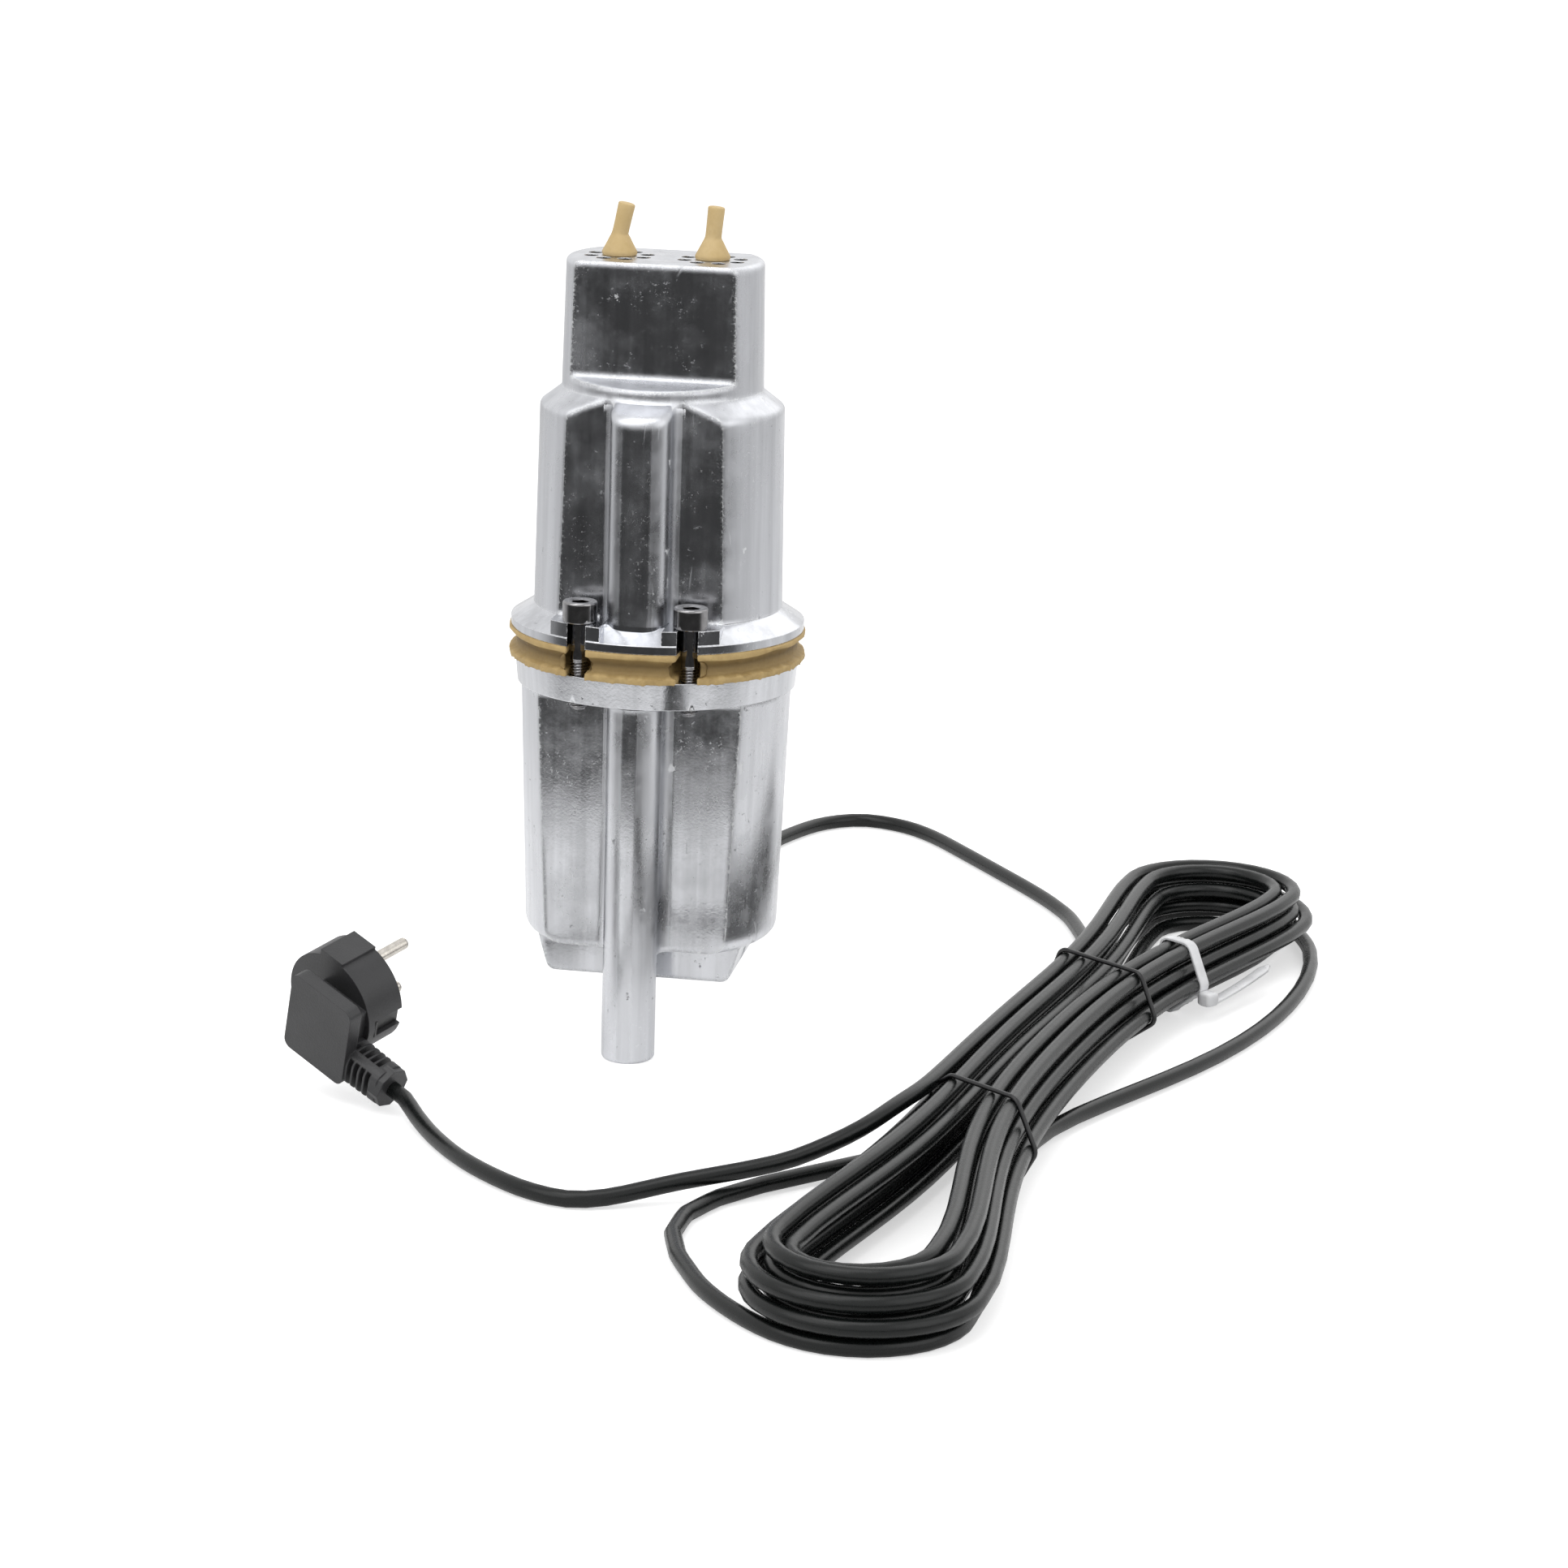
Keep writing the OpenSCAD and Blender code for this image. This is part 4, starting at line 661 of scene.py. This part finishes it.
def valve_rows():
    """Radius and height of a valve's rows, from the dome under its disc to the flat end of its tail."""
    low, b = Z_TOP - 4.8, Z_TOP
    return [(1.2, low - 3.0), (2.7, low - 2.5), (7.0, low - 1.7), (11.6, low - 0.9), (12.7, low - 0.55),
            (12.8, low - 0.3), (12.75, low - 0.02), (11.5, low), (4.2, low), (3.0, low + 0.25), (2.7, low + 0.7),
            (2.7, b - 0.05), (5.1, b + 0.02), (5.55, b + 0.12), (5.8, b + 0.45), (5.85, b + 0.9), (5.82, b + 1.35),
            (5.6, b + 1.75), (4.95, b + 3.0), (4.15, b + 4.5), (3.45, b + 5.9), (3.0, b + 6.7), (2.78, b + 7.2),
            (2.68, b + 7.8), (2.66, b + 9.0), (2.68, b + 11.0), (2.72, b + 13.5), (2.78, b + 16.0), (2.80, b + 17.0),
            (2.70, b + 17.35), (2.40, b + 17.52), (1.2, b + 17.62)]


def make_valve(side, lean, node, body, material):
    """Mushroom valve turned about its own line, which bends over above the barb.

    Across the bend each row tilts by the part of the lean it has reached, and moves by the sum of those tilts."""
    sides, bend_z, bend_h = 40, Z_TOP + 6.4, 1.6
    radii, along = np.array(valve_rows()).T
    a = ring_angles(sides)
    seam = 0.07 * np.exp(-((np.sin(a) / 0.10) ** 2))
    reach = np.clip((along - bend_z) / bend_h, 0, 1)
    tilt = np.radians(lean) * reach * reach * (3 - 2 * reach)
    gain = np.diff(along, prepend=along[0])
    x = np.cumsum(gain * np.sin(tilt))[:, None]
    z = along[0] + np.cumsum(gain * np.cos(tilt))[:, None]
    r = radii[:, None] + seam * (along > Z_TOP)[:, None]
    tilt = tilt[:, None]
    grid = np.stack([side * VALVE_X + (x + r * np.cos(a) * np.cos(tilt)), r * np.sin(a),
                     z - r * np.cos(a) * np.sin(tilt)], -1).reshape(-1, 3)
    n = len(along)
    piece = add_piece("rubber_" + node, grid * MM, grid_faces(n, sides), material, body, smooth_angle=38,
                      caps=end_caps(n, sides))
    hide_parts(node)


def make_diaphragm(material):
    """Moulded sheet: a clamped rim, a thinner web with one shallow round fold, and a flat seat round the rod."""
    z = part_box("diaphragm")[0][2] / MM
    r = np.linspace(9.5, 27.0, 36)
    fold = 0.42 * np.exp(-((r - 18.5) / 2.4) ** 2)
    inside, seat, clamp, rim = ROD_R + SKIN, 8.8, 27.8, 29.3
    under, over = z + SKIN, z + 2.0 - SKIN
    low = [(inside, under), (seat, under), *zip(r, z + 0.15 + fold), (clamp, under), (rim, under)]
    top = [(rim, over), (clamp, over), *zip(r[::-1], z + 1.45 + fold[::-1]), (seat, over), (inside, over)]
    piece = lathe_piece("rubber_diaphragm", low + top, material, None)
    flex(piece)
    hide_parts("diaphragm")


def make_piston(material):
    """Rubber piston: a cone whose thin lip turns up at the rim, with a dished face and a seat for the washer."""
    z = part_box("piston")[0][2] / MM
    r, t, lip = 26.0, 7.0, 1.6
    heel = 0.62 * r
    share = np.linspace(0, 1, 8)[1:-1]
    cone = lambda k: heel + (r - lip - heel) * k
    profile = [(ROD_R + SKIN, z + SKIN), (heel - 0.5, z + SKIN), (heel, z + 0.2),
               *zip(cone(share), z + 0.2 + (0.45 * t - 0.2) * share ** 1.2),
               (r - 1.0, z + 0.47 * t), (r - 0.1, z + 0.57 * t), (r, z + 0.66 * t), (r, z + t - 0.3),
               (r - 0.25, z + t - 0.03), (r - 1.2, z + t - 0.03), (r - lip, z + t - 0.25),
               *zip(cone(share[::-1]), z + 0.7 * t + 0.3 * t * share[::-1] ** 1.6),
               (heel, z + 0.7 * t), (12.0, z + 0.7 * t), (11.0, z + t - SKIN), (ROD_R + SKIN, z + t - SKIN)]
    piece = lathe_piece("rubber_piston", profile, material, "vibrator")
    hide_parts("piston")


def make_grommet(material):
    """Tapered strain relief at the back of the hanger, with the cuts between its five round ribs."""
    (_, _, z0), (_, y1, z1) = np.array(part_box("cord_grommet")) / MM
    root, length, first = 7.9, 24.0, 1.9
    y = y1 - length
    along = np.linspace(first, length - 0.5, 90)
    turns = (along - first) / (length - first - 0.5) * 5.5
    cut = 0.75 * np.clip(np.sin(turns * 2 * np.pi - 0.6) * 2.2 - 0.6, 0, 1)
    body = 4.8 - along / length - cut
    profile = [(0, -root), (4.3, -root), (4.65, -root + 0.35), (4.65, 0.02), (5.2, 0.02), (5.5, 0.3), (5.5, 1.2),
               (5.2, 1.55), (4.8, 1.65), *zip(body, along), (3.4, length - 0.1), (2.85, length), (0, length)]
    profile = [(r, y + a) for r, a in profile]
    piece = lathe_piece("rubber_grommet", profile, material, "casing", 40, (0, 0, (z0 + z1) / 2), "Y")
    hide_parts("cord_grommet")
    return piece


# ---------------------------------------------------------------- ties round the hank

TIE_SKEW, TIE_STEP = np.radians(28.0), 0.8
TIE_ALONG, TIE_ACROSS = np.array([-np.sin(TIE_SKEW), np.cos(TIE_SKEW)]), np.array([np.cos(TIE_SKEW), np.sin(TIE_SKEW)])
WIRE_TIES_AT, WIRE_GAP, WIRE_HALF = (-68.0, 80.0), 0.8, (0.75, 0.95)
STRAP_AT, STRAP_GAP, STRAP_HALF, STRAP_Z = 117.0, 0.15, 2.1, 9.0


def tie_loop(strands, place, low, high, gap):
    """Loop drawn tight round the strands that cross a slanting upright plane between two distances across.

    For each direction in the plane the loop touches the strand that reaches farthest, each strand being an
    ellipse there, and stands off by the gap. Returns the points, the outward ways and the way across."""
    uv = to_hank(strands)
    middle = np.array([place, (low + high) / 2])
    ahead = (uv - middle) @ TIE_ACROSS
    cut = np.nonzero(ahead[:-1] * ahead[1:] < 0)[0]
    share = (ahead[cut] / (ahead[cut] - ahead[cut + 1]))[:, None]
    hit = strands[cut] + (strands[cut + 1] - strands[cut]) * share
    w = (to_hank(hit) - middle) @ TIE_ALONG
    keep = abs(w) < (high - low) / 2 / np.cos(TIE_SKEW)
    centre = np.stack([w[keep], hit[keep, 2]], -1)
    a = np.linspace(0, 2 * np.pi, 721)[:-1]
    way = np.stack([np.cos(a), np.sin(a)], -1)
    wide, tall = CORD_D / 2 / np.cos(TIE_SKEW), CORD_D / 2
    span = np.sqrt((wide * way[:, 0]) ** 2 + (tall * way[:, 1]) ** 2)
    farthest = np.argmax(way @ centre.T, axis=1)
    edge = centre[farthest] + np.stack([wide ** 2 * way[:, 0], tall ** 2 * way[:, 1]], -1) / span[:, None] + gap * way
    edge = np.concatenate([np.concatenate([edge, edge[:1]]), np.zeros((len(edge) + 1, 1))], -1)
    edge = even_steps(edge, TIE_STEP)[:-1, :2]
    edge[:, 1] = np.maximum(edge[:, 1], gap + 0.1)
    step = np.roll(edge, -1, 0) - np.roll(edge, 1, 0)
    step /= np.linalg.norm(step, axis=1)[:, None]
    out = np.stack([step[:, 1], -step[:, 0]], -1)
    lift = lambda flat: from_hank(flat[:, :1] * TIE_ALONG + middle, flat[:, 1])
    return lift(edge), lift(out) - lift(np.zeros((1, 2)))[0], hank_way(TIE_ACROSS)


def tie_ends(place, half):
    """Places along the hank, from -1 to 1, of the left and the right end of a tie's slanting plane."""
    swing = half * np.tan(TIE_SKEW)
    return (place + swing) / HANK_RUN, (place - swing) / HANK_RUN


def closed_band(loop, out, across, section):
    """Closed band: at each point of the loop its section stands on the outward and the across ways."""
    section = np.asarray(section, float)
    if section.ndim == 2:
        section = np.broadcast_to(section, (len(loop), *section.shape))
    rows = loop[:, None] + section[..., :1] * out[:, None] + section[..., 1:] * across
    n, sides = rows.shape[:2]
    faces = grid_faces(n + 1, sides) % (n * sides)
    return rows.reshape(-1, 3), faces


def make_wire_ties(strands, material):
    """Two thin wires drawn round the whole waist of the hank."""
    reach = 2 * HANK_STEP + CORD_D / 2 + 1.0
    points, faces = [], []
    a = ring_angles(10)
    section = np.stack([WIRE_HALF[0] * np.cos(a), WIRE_HALF[1] * np.sin(a)], -1)
    for place in WIRE_TIES_AT:
        left, right = tie_ends(place, hank_side(place / HANK_RUN) + reach)
        loop, out, across = tie_loop(strands, place, hank_bow(left) - hank_side(left) - reach,
                                     hank_bow(right) + hank_side(right) + reach, WIRE_GAP)
        band, quads = closed_band(loop, out, across, section)
        faces.append(quads + sum(len(q) for q in points))
        points.append(band)
    piece = add_piece("wire_tie_pair", np.concatenate(points) * MM, np.concatenate(faces), material, "casing", 60)
    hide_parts("wire_ties")
    return piece


def strap_ribs(mark):
    """Thickness of the strap at distances along it: plain, with a raised rib every second step."""
    return 0.95 + 0.22 * (np.sin(np.pi * mark / TIE_STEP) > 0)


def strap_head(centre, out, across):
    """Box with round edges, from a ball whose sines and cosines are raised to a small power; its points and rows."""
    u, v = np.meshgrid(ring_angles(32), np.linspace(-np.pi / 2, np.pi / 2, 21)[1:-1])
    power = lambda x: np.sign(x) * abs(x) ** 0.45
    ball = (power(np.cos(v)) * power(np.cos(u)), power(np.cos(v)) * power(np.sin(u)), power(np.sin(v)))
    axes = (out * 2.9, across * 3.1, np.array([0, 0, 2.5]))
    return centre + sum(b[..., None] * axis for b, axis in zip(ball, axes))


def strap_tail(centre):
    """Loose end led away from the head over the floor, narrower towards its tip."""
    length, angle = 46.0, np.radians(14)
    way = hank_way((np.cos(angle), np.sin(angle)))
    aside = np.cross(way, (0, 0, 1.0))
    mark = np.arange(0, length, TIE_STEP)
    spine = centre + mark[:, None] * way
    spine[:, 2] += -1.9 + 0.0016 * mark ** 2
    wide = STRAP_HALF * np.clip((length + 0.6 - mark) / 5.0, 0.35, 1)
    top = strap_ribs(mark) * 0.5
    corners = [(-wide, -0.4), (wide, -0.4), (wide, 0.3), (0.75 * wide, top), (-0.75 * wide, top), (-wide, 0.3)]
    return np.stack([spine + aside * a[:, None] + (0, 0, 1.0) * (b + 0 * a)[:, None] for a, b in corners], 1)


def make_cable_tie(strands, material):
    """White strap with cross ribs: drawn round the right half of the loops, through a rounded head, and led away."""
    edge = CORD_D / 2 + 1.0
    half = HANK_STEP + edge
    left, right = tie_ends(STRAP_AT, half)
    low = hank_bow(left) + hank_side(left) - edge
    high = hank_bow(right) + hank_side(right) + 2 * half - edge
    loop, out, across = tie_loop(strands, STRAP_AT, low, high, STRAP_GAP)
    thick, w = strap_ribs(np.arange(len(loop)) * TIE_STEP), STRAP_HALF
    corners = [(0.75, -w), (thick, 0.5 - w), (thick, w - 0.5), (0.75, w), (0, w), (0, -w)]
    section = np.stack([np.stack([a + 0 * thick, b + 0 * thick], -1) for a, b in corners], 1)
    band, faces = closed_band(loop, out, across, section)
    side = np.argmax(out @ hank_way(TIE_ALONG) - abs(loop[:, 2] - STRAP_Z) * 0.02)
    centre = loop[side] + out[side] * 2.6
    centre[2] = STRAP_Z
    parts, caps = [band], []
    for grid in (strap_head(centre, out[side], across), strap_tail(centre)):
        first = sum(len(part) for part in parts)
        n, sides = grid.shape[:2]
        faces = np.concatenate([faces, grid_faces(n, sides) + first])
        caps += end_caps(n, sides, first)
        parts.append(grid.reshape(-1, 3))
    piece = add_piece("cable_tie_strap", np.concatenate(parts) * MM, faces, material, "casing", 35, caps=caps)
    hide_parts("cable_tie")
    return piece


# ---------------------------------------------------------------- finishes

def cast_group():
    """Skin of a fettled aluminium casting: a tone, a roughness, a mask of worn edges and a height.

    Flats (normals along Y) are polished, and their tone is painted a tenth darker as shade; the rest is satin. Over
    both lie cloudy patches, vertical draw marks, fine pits, a few long scratches and small bright chips. The edge mask
    is how far the bevelled normal turns from the true one, broken up by noise."""
    group, tree, given, out = new_group(
        "cast_skin",
        [("Grain", 1.0), ("Scratches", 0.5), ("Edge", 0.0008), ("Chips", 0.5)],
        ["Tone", "Roughness", "Edges", "Height"])
    math = tree.math
    place = tree.object_place()
    noise = lambda scale, detail=3.0, rough=0.6, where=place: tree.noise(where, scale, detail, rough)
    cloud = noise(34.0, 5.0, 0.65)
    speck = noise(1100.0, 2.0, 0.6)
    coarse = noise(300.0, 4.0, 0.7)
    drawn = tree("ShaderNodeMapping", _Vector=place, _Scale=(1.0, 1.0, 0.05)).outputs[0]
    streak = noise(500.0, 2.0, 0.6, drawn)
    lines = None
    for turn, scale in (((0.2, 0.9, 0.3), 26.0), ((1.2, 0.3, 0.9), 40.0)):
        wander = noise(scale, 1.0, 0.4, tree("ShaderNodeMapping", _Vector=place, _Scale=(1.0, 1.0, 0.12),
                                             _Rotation=turn).outputs[0])
        line = tree.ramp(math("ABSOLUTE", math("SUBTRACT", wander, 0.5)), (0.0, 1.0), (0.0035, 0.0))
        lines = line if lines is None else math("MAXIMUM", lines, line)
    broken = tree.ramp(noise(45.0, 2.0), (0.60, 0.0), (0.68, 1.0))
    scratch = math("MULTIPLY", math("MULTIPLY", lines, broken), given["Scratches"])
    spots = tree("ShaderNodeTexVoronoi", feature="F1", _Vector=place, _Scale=85.0, _Randomness=1.0)
    few = math("GREATER_THAN", tree.split(spots.outputs["Color"])["X"], 0.93)
    ragged = math("ADD", spots.outputs["Distance"], math("MULTIPLY", noise(420.0, 3.0), 0.5))
    chip = math("MULTIPLY", math("MULTIPLY", tree.ramp(ragged, (0.36, 1.0), (0.40, 0.0)), few), given["Chips"])
    pits = tree.ramp(coarse, (0.29, 1.0), (0.35, 0.0))
    dust = tree.ramp(speck, (0.70, 0.0), (0.78, 1.0))
    flat = tree("ShaderNodeNewGeometry").outputs["Normal"]
    turned_by = lambda normal, *stops: tree.ramp(
        tree("ShaderNodeVectorMath", operation="DOT_PRODUCT", _0=normal, _1=flat).outputs["Value"], *stops)
    bent = turned_by(tree.bevel(given["Edge"], 6), (0.86, 1.0), (0.995, 0.0))
    edges = math("MULTIPLY", bent, tree.ramp(coarse, (0.38, 0.25), (0.60, 1.0)))
    beside = turned_by(tree.bevel(math("MULTIPLY", given["Edge"], 3.2), 8), (0.88, 1.0), (0.9998, 0.0))
    nicks = tree.ramp(math("ADD", noise(950.0, 3.0, 0.7), math("MULTIPLY", beside, 0.10)), (0.60, 0.0), (0.65, 1.0))
    nicks = math("MULTIPLY", nicks, math("MAXIMUM", beside, tree.ramp(noise(60.0, 3.0), (0.50, 0.0), (0.72, 0.8))))
    tree.link(math("MAXIMUM", math("MAXIMUM", edges, math("MULTIPLY", chip, 0.8)), nicks), out["Edges"])
    polished_and_painted_dark = tree.ramp(math("ABSOLUTE", tree.split(flat)["Y"]), (0.955, 0.0), (0.975, 1.0))
    haze = tree.ramp(cloud, (0.42, 0.0), (0.64, 1.0))
    tone = tree.spread(cloud, 0.90, 1.04)
    tone = math("SUBTRACT", tone, math("MULTIPLY", math("MULTIPLY", pits, 0.45), given["Grain"]))
    bands = tree.ramp(noise(150.0, 3.0, 0.6, drawn), (0.35, 0.16), (0.62, 0.0))
    tone = math("SUBTRACT", tone, bands)
    # Flats' tone a tenth darker: painted shade. Their lower roughness on the next line is real polish.
    tree.link(math("SUBTRACT", tone, math("MULTIPLY", polished_and_painted_dark, 0.10)), out["Tone"])
    rough = math("SUBTRACT", 0.17, math("MULTIPLY", polished_and_painted_dark, 0.13))
    rough = math("ADD", rough, math("MULTIPLY", streak, 0.09))
    rough = math("ADD", rough, math("MULTIPLY", haze, 0.15))
    for mask, much in ((scratch, 0.22), (pits, 0.15), (edges, 0.16), (chip, 0.35), (dust, 0.10), (nicks, 0.45)):
        rough = math("ADD", rough, math("MULTIPLY", mask, much))
    tree.link(rough, out["Roughness"])
    bumps = math("MULTIPLY", math("ADD", math("MULTIPLY", speck, 0.25), math("MULTIPLY", coarse, 0.35)), given["Grain"])
    bumps = math("SUBTRACT", bumps, math("MULTIPLY", pits, math("MULTIPLY", given["Grain"], 0.8)))
    bumps = math("SUBTRACT", math("SUBTRACT", bumps, scratch), math("MULTIPLY", chip, 1.2))
    tree.link(bumps, out["Height"])
    return group


HOLES_R, FINE_FILLET = 0.0142, 0.0004


def cast_material(name, skin, colour, rough, grain, scratches, chips, crisp, holes=0.0, edge=0.0010, fillet=0.0030):
    """Aluminium casting: its colour times the skin's tone, paler along worn edges, its corners softened to a fillet.

    The fillet is small between the two heights of crisp, and round the water holes. Inside those, below the
    height of holes, the metal is painted near black as the shade in them, and made rough."""
    material, tree, shader = new_material(name)
    math = tree.math
    part = tree.split(tree.object_place())
    ledge = math("COMPARE", part["Z"], (crisp[0] + crisp[1]) / 2, (crisp[1] - crisp[0]) / 2)
    fine = ledge
    if holes:
        off = math("SUBTRACT", math("ABSOLUTE", part["X"]), VALVE_X * MM)
        away = math("ADD", math("MULTIPLY", off, off), math("MULTIPLY", part["Y"], part["Y"]))
        near = math("LESS_THAN", away, HOLES_R ** 2)
        fine = math("MAXIMUM", ledge, near)
    blunt = math("SUBTRACT", edge, math("MULTIPLY", fine, 0.8 * edge))
    surface = tree("ShaderNodeGroup", node_tree=skin, _Grain=grain, _Scratches=scratches, _Edge=blunt,
                   _Chips=chips).outputs
    toned = tree("ShaderNodeVectorMath", operation="SCALE", _0=colour, _Scale=surface["Tone"]).outputs[0]
    worn_and_hole_shade = tree.mix(surface["Edges"], toned, (0.82, 0.83, 0.84, 1))
    level = math("MULTIPLY", math("ADD", surface["Roughness"], rough),
                 math("SUBTRACT", 1.0, math("MULTIPLY", ledge, 0.5)))
    if holes:
        # Painted shade: inside the water holes, below the given height, the metal is coloured near black.
        inside = math("MULTIPLY", near, math("LESS_THAN", part["Z"], holes))
        worn_and_hole_shade = tree.mix(inside, worn_and_hole_shade, (0.035, 0.032, 0.028, 1))
        level = math("MAXIMUM", level, math("MULTIPLY", inside, 0.6))
    shader.inputs["Metallic"].default_value = 1.0
    soft = tree.bevel(math("SUBTRACT", fillet, math("MULTIPLY", fine, fillet - FINE_FILLET)), 6)
    finish_surface(tree, shader, worn_and_hole_shade, level, surface["Height"], 0.22, 0.00022, soft)
    return material


def rubber_material(name, colour, dark, scale=260.0, groove=None):
    """Moulded rubber: faint mottling, with a fine grain in the surface; deep places are painted the groove's dark shade
    colour.
    """
    material, tree, shader = new_material(name)
    place = tree.object_place()
    mottle = tree.noise(place, scale, 5.0, 0.65)
    shade = tree.ramp(mottle, (0.30, dark), (0.65, colour))
    if groove:
        # Painted shade: deep places in the groove are coloured towards the groove's dark colour.
        depth = tree("ShaderNodeAttribute", attribute_name="depth").outputs["Fac"]
        shade = tree.mix(depth, shade, (*groove, 1))
    tree.link(shade, shader.inputs["Base Color"])
    shader.inputs["Roughness"].default_value = 0.62
    height = tree.math("ADD", mottle, tree.noise(place, 1400.0, 2.0))
    bump = tree("ShaderNodeBump", _Strength=0.35, _Distance=0.0003, _Height=height, _Normal=tree.bevel(0.0004))
    tree.link(bump.outputs[0], shader.inputs["Normal"])
    return material


def metal_material(name, colour, rough, edge=0.0004):
    """Plain turned or drawn metal with a fine brushed variation."""
    material, tree, shader = new_material(name)
    grain = tree.noise(tree.object_place(), 500.0)
    shade = tree.ramp(grain, (0.25, tuple(0.72 * c for c in colour)), (0.75, colour))
    shader.inputs["Metallic"].default_value = 1.0
    finish_surface(tree, shader, shade, tree.spread(grain, rough - 0.06, rough + 0.10), grain, 0.6, 0.00006,
                   tree.bevel(edge))
    return material


def plastic_material(name, colour, rough, grain=1500.0, strength=0.3, gloss=0.5):
    """Moulded plastic: an even colour that varies slightly, and a spark-eroded grain."""
    material, tree, shader = new_material(name)
    place = tree.object_place()
    shade = tree.ramp(tree.noise(place, 60.0), (0.3, tuple(0.8 * c for c in colour)),
                      (0.7, tuple(min(1.0, 1.15 * c) for c in colour)))
    fine = tree.noise(place, grain, 2.0)
    shader.inputs["Specular IOR Level"].default_value = gloss
    finish_surface(tree, shader, shade, tree.spread(fine, rough - 0.08, rough + 0.08), fine, strength, 0.0002,
                   tree.bevel(0.0005))
    return material


def dress(material, *nodes):
    """Gives CAD nodes their finish."""
    for node in nodes:
        mesh = NODES[node].data
        for i in range(len(mesh.materials)):
            mesh.materials[i] = material


def main():
    """Dresses the CAD's nodes, and adds the pieces that stand for some of them."""
    make_camera()
    make_light()
    make_floor()
    cast = cast_group()
    head_metal = cast_material("cast_aluminium_upper", cast, (0.64, 0.65, 0.68), 0.03, 0.5, 0.8, 0.9,
                               (0.1415, 0.1502), 0.2659)
    base_metal = cast_material("cast_aluminium_lower", cast, (0.74, 0.75, 0.78), 0.03, 1.0, 1.3, 0.9,
                               (0.1225, 0.1325))
    # The tan rubber's groove colour is painted shade, not the rubber's own colour.
    tan = rubber_material("tan_rubber", (0.56, 0.40, 0.17), (0.44, 0.30, 0.12), groove=(0.17, 0.11, 0.035))
    pale = rubber_material("pale_rubber", (0.68, 0.51, 0.26), (0.60, 0.43, 0.19), scale=140.0)
    black = rubber_material("black_rubber", (0.03, 0.03, 0.032), (0.018, 0.018, 0.02))
    screws = metal_material("dark_nickel", (0.34, 0.335, 0.34), 0.10, edge=0.0002)
    cord = plastic_material("cord_sheath", (0.0045, 0.0056, 0.0054), 0.27, 700.0, 0.10, gloss=0.34)
    tie_black = plastic_material("tie_black", (0.006, 0.006, 0.007), 0.35)
    tie_white = plastic_material("tie_white", (0.84, 0.845, 0.86), 0.30)
    dress(head_metal, "intake_housing")
    dress(base_metal, "magnet_housing")
    dress(metal_material("plain_steel", (0.60, 0.61, 0.63), 0.30), "vibrator_rod", "clamp_disc_lower",
          "clamp_disc_upper", "spacer_sleeve", "piston_washers")
    dress(metal_material("zinc_nuts", (0.58, 0.56, 0.50), 0.34), "rod_nuts")
    dress(metal_material("laminations", (0.28, 0.29, 0.32), 0.42), "laminated_core", "armature")
    dress(metal_material("nickel_pins", (0.72, 0.68, 0.62), 0.16), "plug_pins")
    # Earth contacts coloured near black: painted shade of the slot they sit in.
    dress(metal_material("contact_painted_shade", (0.10, 0.10, 0.10), 0.40), "plug_earth_contacts")
    dress(metal_material("winding", (0.62, 0.26, 0.10), 0.30), "coil_left", "coil_right")
    dress(plastic_material("plug_plastic", (0.034, 0.034, 0.036), 0.42), "plug_body")
    dress(plastic_material("bobbin_plastic", (0.72, 0.68, 0.58), 0.5), "bobbin_left", "bobbin_right")
    dress(plastic_material("potting", (0.02, 0.018, 0.016), 0.35), "potting_compound")
    dress(plastic_material("guide_plastic", (0.05, 0.05, 0.055), 0.45), "guide_ring")
    make_nose_rib(head_metal)
    make_screws(screws)
    make_shock_absorber(tan)
    make_valve(-1, 12.0, "intake_valve_left", "valve_left", pale)
    make_valve(1, 5.0, "intake_valve_right", "valve_right", pale)
    make_diaphragm(black)
    make_piston(black)
    grommet = make_grommet(black)
    strands = hank_line(np.linspace(1 / HANK_RINGS, np.floor(HANK_TURNS * HANK_RINGS) / HANK_RINGS, 1600))
    wire = make_wire_ties(strands, tie_black)
    strap = make_cable_tie(strands, tie_white)
    make_cord(cord)


main()
